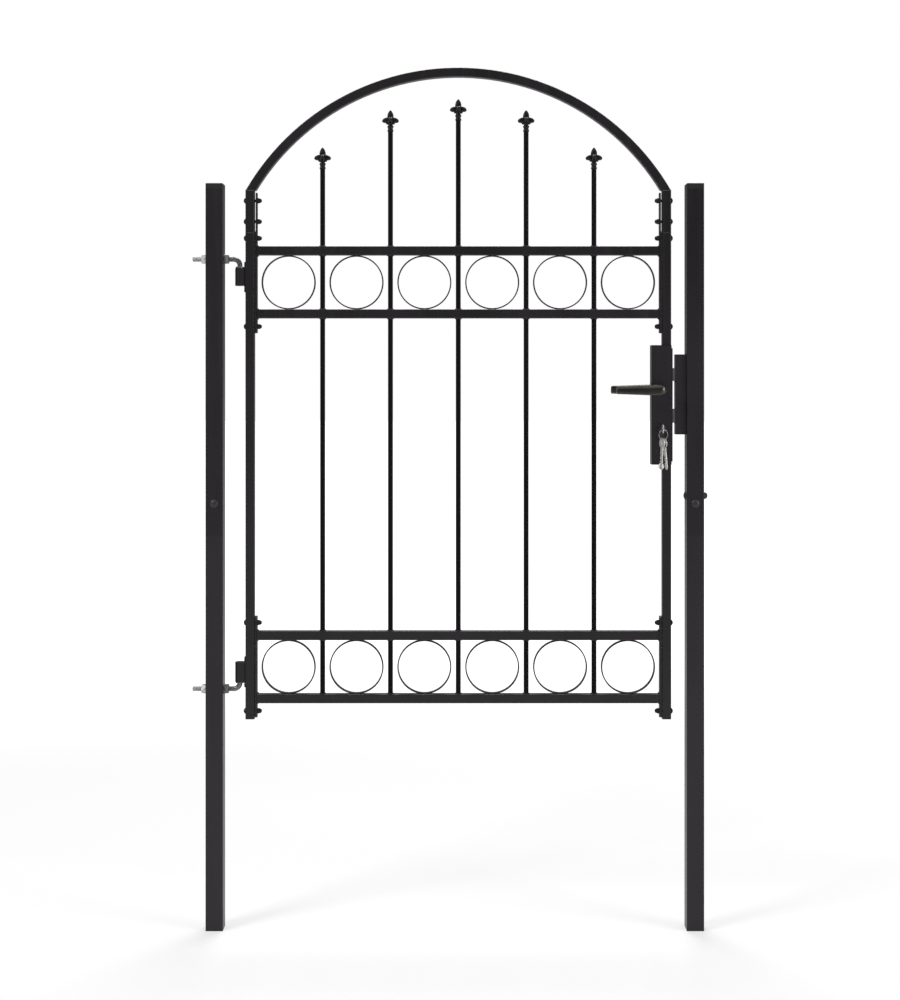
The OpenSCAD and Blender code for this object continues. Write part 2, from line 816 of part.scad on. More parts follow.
module key_ring() {
    color(NICKEL) at_bunch() rotate([90, 0, 0]) rotate_extrude()
        translate([key_ring_r, 0]) circle(d = ring_wire);
}

// Key that hangs by its bow from the ring; the children are carried on its blade
module hanging_key(place) {
    x = place[0];
    translate([x, 0, -sqrt(pow(key_ring_r, 2) - x * x) - ring_sag]) rotate([0, -place[1], 0])
        translate([0, 0, -bow_hole_out]) rotate([-90, 0, 0]) {
            key_body(spare_blade_len);
            children();
        }
}

module round_end() {
    translate([0, spare_blade_len - tag_d / 2, 0]) rotate([0, 90, 0])
        cylinder(d = tag_d, h = key_t, center = true);
}

module spare_keys() {
    color(NICKEL) at_bunch() {
        hanging_key(hung_keys[0]) round_end();
        hanging_key(hung_keys[1]);
    }
}

// Keep on the latch post: a channel with a slot for each bolt

module latch_keep() {
    color(BLACK) difference() {
        translate([keep_x, -keep_d / 2, keep_z - keep_h / 2])
            cube([latch_post_in_x - keep_x, keep_d, keep_h]);
        translate([keep_x + keep_t, -keep_d / 2 + keep_t, keep_z - keep_h / 2 - 1])
            cube([latch_post_in_x - keep_x, keep_d - 2 * keep_t, keep_h + 2]);
        for (b = [[latch_z, latch_h], [dead_bolt_z, dead_bolt_h]])
            translate([keep_x - 1, -bolt_depth / 2 - keep_slot_clear,
                b[0] - b[1] / 2 - keep_slot_clear])
                cube([keep_t + 2, bolt_depth + 2 * keep_slot_clear, b[1] + 2 * keep_slot_clear]);
    }
}

hinge_post_lower();
hinge_post_upper();
latch_post_lower();
latch_post_upper();
post_sleeves();
post_caps();
post_foot_plugs();
post_bolts();
top_hinge_bolt();
bottom_hinge_bolt();
hinge_nuts();
latch_keep();
hinge_stile();
latch_stile_upper();
latch_stile_lower();
arch();
upper_side_plates();
lower_side_plates();
upper_band_top_rail();
upper_band_bottom_rail();
lower_band_top_rail();
lower_band_bottom_rail();
bar(1);  // bar_1
bar(2);  // bar_2
bar(3);  // bar_3
bar(4);  // bar_4
bar(5);  // bar_5
finials();
upper_rings();
lower_rings();
top_hinge_eye();
bottom_hinge_eye();
stile_bolts();
stile_cap_nuts();
lock_case();
front_cover_plate();
back_cover_plate();
lock_forend();
lock_cylinder();
front_lever();
back_lever();
spindle();
latch_bolt();
dead_bolt();
key();
key_ring();
spare_keys();
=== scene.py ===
"""Detailed fittings, finishes and a plain studio for an arched steel garden gate.

The packed model is the frame: posts along Z, the leaf along X, its front towards -Y.
Lengths are in metres; numbers written in millimetres are scaled by MM.
"""

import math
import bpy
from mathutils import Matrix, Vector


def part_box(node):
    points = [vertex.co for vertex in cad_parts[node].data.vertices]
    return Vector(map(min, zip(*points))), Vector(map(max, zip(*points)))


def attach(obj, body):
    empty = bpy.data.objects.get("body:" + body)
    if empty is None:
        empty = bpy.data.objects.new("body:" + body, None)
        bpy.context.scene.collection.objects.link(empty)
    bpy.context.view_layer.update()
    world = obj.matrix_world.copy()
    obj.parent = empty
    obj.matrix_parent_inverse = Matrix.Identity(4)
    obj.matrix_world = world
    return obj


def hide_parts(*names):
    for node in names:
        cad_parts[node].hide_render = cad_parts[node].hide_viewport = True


bl_info = {
    "name": "Arched Garden Gate Details",
    "version": (1, 0, 0),
    "blender": (4, 5, 0),
    "location": "3D View > Sidebar > Gate",
    "description": "Fittings, weld beads, finishes and studio of an arched steel garden gate",
    "category": "Add Mesh",
}

import bpy
import numpy as np
from mathutils import Vector

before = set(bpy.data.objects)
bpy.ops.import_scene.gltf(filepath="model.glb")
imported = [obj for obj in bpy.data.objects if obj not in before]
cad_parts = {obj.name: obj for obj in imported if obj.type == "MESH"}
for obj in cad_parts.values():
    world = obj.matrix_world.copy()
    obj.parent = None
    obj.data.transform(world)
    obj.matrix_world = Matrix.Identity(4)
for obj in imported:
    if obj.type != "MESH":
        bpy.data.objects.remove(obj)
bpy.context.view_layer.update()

MM = 0.001
TURN = 2 * math.pi
UP = (0, 0, 1)

BARS = tuple(f"bar_{number}" for number in range(1, 6))
BANDS = ("upper", "lower")
RAILS = tuple(f"{band}_band_{place}_rail" for band in BANDS for place in ("top", "bottom"))
RINGS = tuple(f"{band}_rings" for band in BANDS)
SIDE_PLATES = tuple(f"{band}_side_plates" for band in BANDS)

BAR_RADIUS = 5 * MM
ROD_RADIUS = 5 * MM
KEY_RING_WIRE = 1.8 * MM
SAME_PLACE = 0.002 * MM  # corners of a packed mesh this close are one
# A key's bow and the hole in it: the radius, and the distance of the middle from the shoulder
BOW_RADIUS, BOW_CENTRE = 10 * MM, 15 * MM
HOLE_RADIUS, HOLE_CENTRE = 3 * MM, 20 * MM

# ---- shapes


def smooth(value):
    """Nought below 0, one above 1, and between them three squares less two cubes."""
    value = np.clip(value, 0, 1)
    return value * value * (3 - 2 * value)


def angles(count):
    """Evenly spaced angles of one turn, without the last."""
    return np.arange(count) * TURN / count


def grid(*coordinates):
    """Points from their coordinates, each a number or an array."""
    return np.stack(np.broadcast_arrays(*coordinates), -1)


def lengths(path):
    """Length of the path up to each of its points."""
    return np.append(0, np.cumsum(np.linalg.norm(np.diff(path, axis=0), axis=1)))


def mirrored(table):
    """Rows of a table, and then the same rows backwards with the second column's sign turned."""
    table = np.asarray(table, float)
    return np.concatenate([table, table[::-1] * (1, -1)])


def through(places, count):
    """Curve through the places, as count points.

    Between two neighbours each coordinate is the cubic whose slope at either end is half
    the difference of the places on both sides of it.
    """
    places = np.asarray(places, float)
    slopes = np.gradient(places, axis=0)
    at = np.linspace(0, len(places) - 1, count)
    left = np.minimum(at.astype(int), len(places) - 2)
    u = (at - left)[:, None]
    a, b, da, db = places[left], places[left + 1], slopes[left], slopes[left + 1]
    return (
        a * (1 - u) ** 2 * (1 + 2 * u) + b * u**2 * (3 - 2 * u)
        + da * u * (1 - u) ** 2 - db * u**2 * (1 - u)
    )


def skin(rings, closed=False, hollow=0.0):
    """Shell over a grid of points whose rows are rings that wrap round.

    Neighbouring rings are joined by quads. A closed shell joins its last ring to its first;
    an open one ends in a fan round the middle of each end ring. A shell whose signed volume
    comes out negative has its faces turned, so that they point outwards. hollow says, point
    by point, how deep in a recess the surface lies.
    """
    rings = np.asarray(rings, float)
    rows, columns = rings.shape[:2]
    index = np.arange(rows * columns).reshape(rows, columns)
    low, high = (index, np.roll(index, -1, 0)) if closed else (index[:-1], index[1:])
    quads = grid(low, np.roll(low, -1, 1), np.roll(high, -1, 1), high).reshape(-1, 4)
    points = rings.reshape(-1, 3)
    depth = np.broadcast_to(hollow, (rows, columns)).reshape(-1)
    fans = np.empty((0, 3), int)
    if not closed:
        first, start, end = len(points), index[0], index[-1]
        points = np.concatenate([points, [rings[0].mean(0), rings[-1].mean(0)]])
        depth = np.append(depth, [depth[0], depth[-1]])
        fans = np.concatenate([
            grid(first, np.roll(start, -1), start), grid(first + 1, end, np.roll(end, -1)),
        ])
    corners = np.concatenate([quads[:, :3], quads[:, [0, 2, 3]], fans])
    a, b, c = (points[corners[:, k]] - points.mean(0) for k in range(3))
    if (a * np.cross(b, c)).sum() < 0:
        quads, fans = quads[:, ::-1], fans[:, ::-1]
    return points, quads, fans, depth


def set_up(points, origin, axis):
    """Local points moved to the origin, with their Z along the axis and the rest square to it."""
    axis = np.asarray(axis, float)
    side = (0, 0, 1) if abs(axis[2]) < 0.9 else (1, 0, 0)
    return points @ np.stack([side, np.cross(axis, side), axis]) + np.asarray(origin)


def turned(profile, origin, axis, count=48, closed=False, swell=1.0, hollow=0.0):
    """Surface of revolution: each (radius, height) of the profile becomes a ring.

    swell, a grid of rings by angles, multiplies the radius.
    """
    profile, turn = np.asarray(profile, float), angles(count)
    radius = profile[:, :1] * swell
    rings = grid(radius * np.cos(turn), radius * np.sin(turn), profile[:, 1:])
    return skin(set_up(rings, origin, axis), closed, hollow)


def swept(path, section, side, closed=False, hollow=0.0):
    """Section carried along a path.

    The section's first coordinate lies along side, squared up to the path, and its second
    along the cross product of the path's direction and that side.
    """
    path = np.asarray(path, float)
    ahead = np.roll(path, -1, 0) - np.roll(path, 1, 0) if closed else np.gradient(path, axis=0)
    ahead /= np.linalg.norm(ahead, axis=1, keepdims=True)
    side = np.broadcast_to(np.asarray(side, float), path.shape)
    side = side - (side * ahead).sum(1, keepdims=True) * ahead
    side /= np.linalg.norm(side, axis=1, keepdims=True)
    over = np.cross(ahead, side)
    rings = path[:, None] + section[..., :1] * side[:, None] + section[..., 1:] * over[:, None]
    return skin(rings, closed, hollow)


def pillow(width, depth, power, count=32):
    """Section whose coordinates are half the width and depth times the cosine and sine of the
    angle, each raised to two over the power, so that 2 is an ellipse and more is squarer."""
    turn = angles(count)
    width, depth, power = (np.atleast_1d(value)[:, None] for value in (width, depth, power))
    fold = lambda wave: np.sign(wave) * np.abs(wave) ** (2 / power)
    return grid(width / 2 * fold(np.cos(turn)), depth / 2 * fold(np.sin(turn)))


# ---- the frame


def extent(node):
    """Lowest and highest corner of a node."""
    return tuple(np.array(corner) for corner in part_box(node))


def middle(node):
    """Middle of a node's box."""
    low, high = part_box(node)
    return np.array((low + high) / 2)


def faces(low, high, axis=2):
    """The two faces of a box across an axis, each with the sign of its outward direction."""
    return (low[axis], -1), (high[axis], 1)


def outwards(low, high):
    """Which way along X a box lies from the leaf's middle, and its outer and inner face."""
    return (1, high[0], low[0]) if low[0] > middle("arch")[0] else (-1, low[0], high[0])


def solids(*nodes):
    """Boxes of the nodes' separate solids, each node's from left to right and then upwards.
    Corners at one place share a label, and each triangle hands on its lowest label until none
    changes."""
    boxes = []
    for node in nodes:
        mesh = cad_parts[node].data
        points = np.empty(len(mesh.vertices) * 3, np.float32)
        mesh.vertices.foreach_get("co", points)
        corners = np.empty(len(mesh.polygons) * 3, np.int32)
        mesh.loops.foreach_get("vertex_index", corners)
        points, corners = points.reshape(-1, 3).astype(float), corners.reshape(-1, 3)
        places = np.round(points / SAME_PLACE)
        places, same = np.unique(places, axis=0, return_inverse=True)
        triangles = same.reshape(-1)[corners]
        label, before = np.arange(len(places)), None
        while before is None or (label != before).any():
            before = label.copy()
            np.minimum.at(label, triangles.ravel(), np.repeat(before[triangles].min(1), 3))
            label = label[label]
        group = label[triangles[:, 0]]
        parts = [points[corners[group == one]] for one in np.unique(group)]
        found = [(part.min((0, 1)), part.max((0, 1))) for part in parts]
        boxes += sorted(found, key=lambda box: (round(box[0][0], 3), box[0][2]))
    return boxes


def piece(name, shells, finish, stands_for=(), body="leaf", crease=38):
    """One mesh object at the origin from several shells, with its finish and its place in the
    frame. Edges sharper than the crease, in degrees, stay sharp."""
    starts = np.cumsum([0] + [len(shell[0]) for shell in shells])
    polygons = [
        polygon
        for kind in (1, 2)
        for shell, start in zip(shells, starts)
        for polygon in (shell[kind] + start).tolist()
    ]
    mesh = bpy.data.meshes.new(name)
    mesh.from_pydata(np.concatenate([shell[0] for shell in shells]).tolist(), [], polygons)
    if mesh.validate():
        raise RuntimeError(f"{name} has faces that Blender had to mend")
    depth = np.concatenate([shell[3] for shell in shells]).astype(np.float32)
    mesh.attributes.new("hollow", "FLOAT", "POINT").data.foreach_set("value", depth)
    mesh.shade_smooth()
    mesh.set_sharp_from_angle(angle=math.radians(crease))
    mesh.materials.append(bpy.data.materials[finish])
    made = bpy.data.objects.new(name, mesh)
    bpy.context.scene.collection.objects.link(made)
    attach(made, body)
    if stands_for:
        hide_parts(*stands_for)


# ---- fastenings


def ring_profile(inner, outer, thickness, edge):
    """Section of a flat ring with its four corners cut by the edge."""
    low, high = edge, thickness - edge
    return [
        (inner + edge, 0), (outer - edge, 0), (outer, low), (outer, high),
        (outer - edge, thickness), (inner + edge, thickness), (inner, high), (inner, low),
    ]


def washer(bore, outer, thickness, origin, axis):
    """Flat washer with softened edges."""
    return turned(ring_profile(bore, outer, thickness, 0.3 * MM), origin, axis, 64, closed=True)


def trimmed(rise, rings, count):
    """Swell of a nut's rings: at first one over the cosine of the angle from the nearest flat,
    and no more than the share that a cone leaves at either face, where rise is nought; the
    rings beyond the hexagon stay round."""
    share = 0.955 + 0.21 * np.append(rise, rise[::-1])
    from_flat = (angles(count) + TURN / 12) % (TURN / 6) - TURN / 12
    swell = np.ones((rings, count))
    swell[: len(share)] = np.minimum(1 / np.cos(from_flat), share[:, None])
    return swell


def open_nut(flats, height, bore, origin, axis):
    """Hexagon nut with a cone cut round both faces and a countersunk bore."""
    rise = np.linspace(0, 1, 7)
    cone = 0.21 * flats / 2 * math.tan(TURN / 12)
    sink = 0.8 * MM
    profile = (
        [(flats / 2, cone * r) for r in rise] + [(flats / 2, height - cone * r) for r in rise[::-1]]
        + [(bore + sink, height), (bore, height - sink), (bore, sink), (bore + sink, 0)]
    )
    swell = trimmed(rise, len(profile), 96)
    return turned(profile, origin, axis, 96, closed=True, swell=swell)


def cap_nut(flats, hexagon, height, origin, axis):
    """Closed nut: a hexagon with conical shoulders, a narrow land and a dome whose height
    follows a quarter ellipse."""
    rise = np.linspace(0, 1, 6)
    cone = 0.13 * flats / 2
    radius = flats / 2 - 0.45 * MM
    land = hexagon + 0.5 * MM
    dome = np.linspace(0, TURN / 4, 12)[1:-1]
    profile = (
        [(flats / 2, cone * 0.6 * r) for r in rise]
        + [(flats / 2, hexagon - cone * r) for r in rise[::-1]]
        + [(radius, hexagon + 0.05 * MM), (radius, land)]
        + [(radius * math.cos(a), land + (height - land) * math.sin(a)) for a in dome]
    )
    hollow = np.zeros((len(profile), 1))
    hollow[12:14] = 0.8
    return turned(profile, origin, axis, 72, swell=trimmed(rise, len(profile), 72), hollow=hollow)


def dome_head(diameter, height, origin, axis):
    """Round bolt head: a short upright rim and a dome that follows a circle's arc."""
    rise = 0.75 * height
    ball = ((diameter / 2) ** 2 + rise**2) / (2 * rise)
    rounded = diameter / 2 * np.sin(np.linspace(1, 0, 12)[:-1] * TURN / 4)
    arc = [(r, height - ball + math.sqrt(ball**2 - r**2)) for r in rounded]
    return turned([(diameter / 2 - 0.3 * MM, 0), (diameter / 2, 0.15 * MM)] + arc, origin, axis, 40)


def shank(diameter, start, end):
    """Plain level rod between two points."""
    return swept(np.linspace(start, end, 3), pillow(diameter, diameter, 2, 24), UP)


def hinge_rod(node, up, settings):
    """Threaded rod that bends into the hinge pin.

    It runs along X, turns through a quarter circle and ends along Z, the way that up says.
    On the thread the radius is the rod's less the thread's depth where the fraction of
    length over pitch, less the angle's share of a turn, falls in a groove.
    """
    low, high = extent(node)
    bend, thread_end, fade, tip = 12 * MM, 34.5 * MM, 2 * MM, 1.1 * MM
    level = low[2] + ROD_RADIUS if up > 0 else high[2] - ROD_RADIUS
    pin = high[0] - ROD_RADIUS
    arc = np.linspace(0, TURN / 4, 17)
    rise = np.linspace(bend, high[2] - level if up > 0 else level - low[2], 8)[1:]
    path = np.concatenate([
        grid(np.arange(low[0], pin - bend, settings.thread_pitch / 8), 0, level),
        grid(pin - bend + bend * np.sin(arc), 0, level + up * bend * (1 - np.cos(arc))),
        grid(pin, 0, level + up * rise),
    ])
    turn, run = angles(32), lengths(path)
    from_crest = np.abs((run[:, None] / settings.thread_pitch - turn / TURN) % 1 - 0.5)
    groove = smooth(1.3 - 2.6 * from_crest)
    groove *= 1 - smooth((run - (thread_end - low[0])) / fade)[:, None]
    point = np.clip(tip - np.minimum(run, run[-1] - run), 0, None)[:, None]
    size = ROD_RADIUS - settings.thread_depth * groove - point
    section = size[..., None] * grid(np.cos(turn), np.sin(turn))
    return swept(path, section, (0, 1, 0), hollow=groove)


# ---- finials


def finial(foot, settings):
    """Cast spear finial: a turned core with two collars and a bud of four soft lobes, and four
    leaves, each a squashed oval carried up, over and down along a curve in its own plane."""
    core = np.array([
        (5.0, 0.0), (5.8, 0.3), (6.1, 0.9), (6.1, 3.0), (5.8, 3.7), (5.3, 4.1), (5.1, 4.8),
        (5.1, 7.6), (5.4, 8.3), (6.1, 8.8), (6.4, 9.5), (6.4, 10.9), (6.1, 11.5), (5.4, 11.9),
        (4.9, 12.6), (4.6, 14.0), (4.7, 16.5), (5.0, 18.8), (5.5, 21.2), (6.0, 23.8), (6.4, 26.4),
        (6.7, 28.8), (6.9, 30.8), (6.85, 32.6), (6.5, 34.4), (5.9, 36.2), (5.1, 38.0), (4.2, 39.6),
        (3.2, 41.0), (2.1, 42.3), (1.2, 43.2), (0.4, 43.85),
    ])
    lobes = np.cos(4 * angles(48) + TURN / 2)
    lobed = smooth((core[:, 1] - 22) / 8)[:, None]
    swell = 1 + settings.lobe * lobed * (lobes - 0.4)
    hollow = np.clip(1 - np.abs(core[:, 1:] - 6.2) / 2.2, 0, 1) * 0.7
    hollow = hollow + lobed * np.clip(-lobes, 0, 1) * 0.5
    shells = [turned(core * MM, foot, UP, 48, swell=swell, hollow=hollow)]
    out, rise, wide, thick = through([
        (0.0, 20.5, 6.0, 12.5), (4.5, 21.8, 9.0, 15.5), (8.0, 22.9, 10.4, 12.8),
        (11.5, 22.5, 10.0, 10.0), (14.2, 21.8, 9.0, 8.6), (16.8, 21.2, 7.2, 7.6),
    ], 36).T
    round_end = np.sqrt(np.clip(1 - np.clip((out - 12.4) / 4.5, 0, 1) ** 2, 0.01, 1)) * MM
    section = pillow(wide * settings.leaf_width * round_end, thick * round_end, 2.3, 28)
    vein = np.exp(-(section[..., 0] / (1.1 * MM)) ** 2)
    section[..., 1] *= 1 - 0.12 * vein
    for face in angles(4):
        path = grid(out * math.cos(face), out * math.sin(face), rise) * MM + foot
        across = (-math.sin(face), math.cos(face), 0)
        shells.append(swept(path, section, across, hollow=vein * 0.8))
    return shells


# ---- levers


def lever(node, settings):
    """Lever handle: a round neck, a bent elbow and a flat grip whose upper outer edge is cut back.

    The path leaves the case along Y, turns a quarter circle towards -X and runs on straight.
    Each section is a squared oval; along the path it passes from the neck's circle to the
    grip's tall flat shape, which narrows to the tip.
    """
    low, high = extent(node)
    out = -1 if node == "front_lever" else 1
    start, face = (high[1], low[1]) if out < 0 else (low[1], high[1])
    x, _, z = middle("spindle")
    neck_width, thick, tall_root, settle = 16 * MM, 11 * MM, 22 * MM, 6 * MM
    bend, tip_round, tip_close = settings.elbow, settings.tip_round, 0.42
    level = face - out * thick / 2
    turn = np.linspace(0, TURN / 4, 25)[1:-1]
    neck = np.linspace(start, level - out * bend, 14)
    grip = np.linspace(x - bend, low[0], 60)
    tail = low[0] + tip_round * (1 - np.sin(np.linspace(0, TURN / 4, 9)))[1:]
    grip = np.concatenate([grip[grip > low[0] + tip_round], tail])
    path = np.concatenate([
        grid(x, neck, z),
        grid(x - bend * (1 - np.cos(turn)), level - out * bend * (1 - np.sin(turn)), z),
        grid(grip, level, z),
    ])
    run = lengths(path)
    neck_run, elbow_run = run[len(neck) - 1], run[len(neck) + len(turn)]
    change = smooth((run - neck_run) / (elbow_run - neck_run + settle))
    taper = np.clip((run - elbow_run) / (run[-1] - elbow_run), 0, 1)
    tall = tall_root + taper * (settings.tip_height - tall_root)
    tall = neck_width * (1 - change) + change * tall
    deep = neck_width * (1 - change) + change * thick
    left = np.clip((run[-1] - run) / tip_round, 0, 1)
    close = 1 - tip_close * (1 - np.sqrt(1 - (1 - left) ** 2))
    section = pillow(tall * close, deep * close, 2 + change * 5, 56)
    half = grid(tall * close, out * deep * close)[:, None] / 2
    excess = (section / half).sum(-1, keepdims=True) - 2 + settings.bevel
    section -= half * np.clip(excess, 0, None) / 2 * change[:, None, None]
    return swept(path, section, UP)


# ---- keys


def key(turn, shoulder, length, cuts, coin_axis=None):
    """Pin-tumbler key in its own frame: the blade along +Y, the bow towards -Y, thin along X.

    The bow is a closed strip round its hole: the outer edge lies where a ray from the hole
    meets the bow's circle, and the panel between the rims is pressed in. The blade is a section
    with a milled groove in each side, carried along Y under an upper edge that dips at each cut.
    A key with a coin_axis ends in a coin that faces along it. The matrix turn and the shoulder
    bring the local points into the frame.
    """
    place = lambda points: points @ turn + shoulder
    half, gap = 1 * MM, HOLE_CENTRE - BOW_CENTRE
    cos, sin = np.cos(angles(72)), np.sin(angles(72))
    reach = gap * cos + np.sqrt(BOW_RADIUS**2 - (gap * sin) ** 2)
    panel = mirrored([
        (0.0, 0.55), (0.04, 0.9), (0.14, 1.0), (0.22, 0.72), (0.78, 0.72), (0.86, 1.0), (0.96, 0.9),
        (1.0, 0.55),
    ])
    radius = HOLE_RADIUS + (reach[:, None] - HOLE_RADIUS) * panel[:, 0]
    rim = panel[:, 1] * half
    rings = grid(rim, radius * cos[:, None] - HOLE_CENTRE, radius * sin[:, None])
    shells = [skin(place(rings), True, (np.abs(rim) < 0.8 * half) * 0.5)]

    edge, first_cut, cut_step, flat = 4 * MM, 9 * MM, 4.6 * MM, 0.9 * MM
    root, groove_start, groove_fade, point = -8 * MM, -2 * MM, 3 * MM, 3.2 * MM
    y = np.linspace(root, length, 90)
    top = np.full(len(y), edge)
    for number, depth in enumerate(cuts):
        away = np.abs(y - first_cut - cut_step * number)
        top = np.minimum(top, edge - depth * MM + np.clip(away - flat, 0, None) * 1.1)
    end = np.clip((length - y) / point, 0, 1)
    foot = -edge * (0.35 + 0.65 * end)
    top = np.minimum(top, edge * (0.05 + 0.95 * end))
    x, z = np.array([
        (0.4, -4), (0.7, -4), (1, -3.6), (1, -1.7), (0.55, -1.4), (0.55, 0.2), (1, 0.5), (1, 1.6),
        (1, 3.7), (0.6, 4), (-0.6, 4), (-1, 3.7), (-1, 3), (-0.6, 2.7), (-0.6, 1.5), (-1, 1.2),
        (-1, -1), (-1, -3.6), (-0.4, -4),
    ]).T * MM
    milled = np.abs(x) < 0.58 * half
    milled[[0, -1]] = False
    start = smooth((y - groove_start) / groove_fade)[:, None]
    x = np.where(milled, x * start + half * np.sign(x) * (1 - start), x)
    rings = grid(x, y[:, None], np.clip(z, foot[:, None], top[:, None]))
    shells.append(skin(place(rings), False, milled * start * 0.8))
    if coin_axis is not None:
        coin = mirrored([
            (0.2, 0.55), (2.6, 0.6), (3.2, 0.95), (4.0, 1.0), (4.6, 0.95), (5.0, 0.55), (5.7, 0.55),
            (6.1, 1.0), (6.6, 1.0), (7.0, 0.6),
        ]) * MM
        sunk = (np.abs(coin[:, 1:]) < 0.58 * MM) * 0.8
        at = (0, length - coin[:, 0].max(), 0)
        points, *rest = turned(coin, at, coin_axis, 48, hollow=sunk)
        shells.append((place(points), *rest))
    return shells


def split_ring(radius, wire):
    """Key ring: a flat strip carried through almost two turns that lie side by side, each half
    as thick as the wire, with a short crossing between them."""
    turns = np.linspace(0.06, 1.94, 170)
    across = (smooth((turns - 0.94) / 0.12) - 0.5) * wire / 2
    turn = (turns + 0.3) * TURN
    out = grid(np.sin(turn), 0, np.cos(turn))
    section = pillow(wire * 0.94, wire * 0.47, 3.2, 14)
    joint = np.clip(1 - np.abs(section[..., 1]) / (wire * 0.2), 0, 1)
    return swept(radius * out + grid(0, across, 0), section, out, hollow=joint * 0.1)


# ---- welds


def bead(path, radius, settings, closed=False, seed=0.0):
    """Weld bead: a round section carried along a path.

    Its radius swells and sinks once for every ripple along the path, wanders slowly by two
    sine waves, and falls away over the last radius at both ends of an open bead.
    """
    run = lengths(path)
    length = run[-1] + (np.linalg.norm(path[0] - path[-1]) if closed else 0)
    phase = TURN * run / length
    ripple = np.cos(max(2, round(length / settings.ripple)) * phase)
    swell = 1 + settings.ripple_height * ripple
    swell += 0.06 * np.sin(2 * phase + 7 * seed) + 0.04 * np.sin(3 * phase + 11 * seed)
    if not closed:
        swell *= np.sqrt(np.clip(np.minimum(run, run[-1] - run) / radius, 0.02, 1))
    section = pillow(2 * radius * swell, 2 * radius * swell, 2, 10)
    return swept(path, section, UP, closed, np.clip(-ripple, 0, 1)[:, None] * 0.6)


# ---- shader maths


class Channel:
    """One output of a node. Sums and products with it add Math nodes."""

    def __init__(self, tree, socket):
        self.tree, self.socket = tree, socket

    def math(self, operation, *values):
        return self.tree.node("ShaderNodeMath", {"operation": operation}, dict(enumerate(values)))

    __add__ = __radd__ = lambda self, other: self.math("ADD", self, other)
    __mul__ = __rmul__ = lambda self, other: self.math("MULTIPLY", self, other)
    __sub__ = lambda self, other: self.math("SUBTRACT", self, other)
    __rsub__ = lambda self, other: self.math("SUBTRACT", other, self)
    __or__ = lambda self, other: self.math("MAXIMUM", self, other)

    def between(self, low, high):
        """Nought at low and one at high, eased."""
        return self.tree.node(
            "ShaderNodeMapRange", {"interpolation_type": "SMOOTHSTEP"},
            {"Value": self, "From Min": low, "From Max": high},
        )

    def along(self, axis):
        """One coordinate of a vector."""
        return self.tree.node("ShaderNodeSeparateXYZ", None, {0: self}, axis)

    def size(self):
        """Length of a vector."""
        return self.tree.node("ShaderNodeVectorMath", {"operation": "LENGTH"}, {0: self}, "Value")


class Tree:
    """Node tree of a finish, the room or the floor."""

    def __init__(self, owner):
        owner.use_nodes = True
        self.owner, self.made = owner, owner.node_tree
        self.made.nodes.clear()

    def node(self, kind, settings=None, sockets=None, output=0):
        """Adds a node, its settings first and then the values or links of its sockets."""
        added = self.made.nodes.new(kind)
        for name, value in (settings or {}).items():
            setattr(added, name, value)
        for name, value in (sockets or {}).items():
            if isinstance(value, Channel):
                self.made.links.new(value.socket, added.inputs[name])
            else:
                added.inputs[name].default_value = value
        return Channel(self, added.outputs[output]) if added.outputs else None

    def place(self):
        """The object's own coordinates."""
        return self.node("ShaderNodeTexCoord", output="Object")

    def moved(self, scale=(1, 1, 1), by=(0, 0, 0)):
        """The object's own coordinates, scaled and then moved."""
        return self.node(
            "ShaderNodeMapping", None, {"Vector": self.place(), "Scale": scale, "Location": by}
        )

    def noise(self, scale, detail=2.0, stretch=(1, 1, 1), seed=0.0):
        """Noise on the object's own coordinates, scale waves to the metre."""
        sockets = {"Vector": self.moved(stretch, (seed, seed, 0)), "Scale": scale, "Detail": detail}
        return self.node("ShaderNodeTexNoise", None, sockets)

    def hollow(self):
        """How deep in a recess the surface lies; nought where a mesh doesn't say."""
        return self.node("ShaderNodeAttribute", {"attribute_name": "hollow"}, output="Fac")

    def ray(self, kind):
        """One for a ray of that kind and nought for others."""
        return self.node("ShaderNodeLightPath", output=f"Is {kind} Ray")

    def mix(self, share, first, second):
        """Colour between two others."""
        return self.node("ShaderNodeMix", {"data_type": "RGBA"}, {0: share, 6: first, 7: second}, 2)

    def relief(self, height, depth, under=None):
        """Bump of the given depth in metres, over another where one is given."""
        sockets = {"Height": height, "Distance": depth, "Strength": 1.0}
        return self.node("ShaderNodeBump", None, sockets | ({"Normal": under} if under else {}))

    def surface(self, **sockets):
        """Principled shader with the sockets given in words."""
        words = lambda name: name.replace("_", " ").title().replace("Ior", "IOR")
        sockets = {words(name): value for name, value in sockets.items()}
        shader = self.node("ShaderNodeBsdfPrincipled", None, sockets)
        self.node("ShaderNodeOutputMaterial", None, {"Surface": shader})


def rgb(colour, factor=1.0):
    """Colour with four channels, made lighter or darker."""
    return tuple(min(1.0, channel * factor) for channel in colour[:3]) + (1.0,)


# ---- finishes


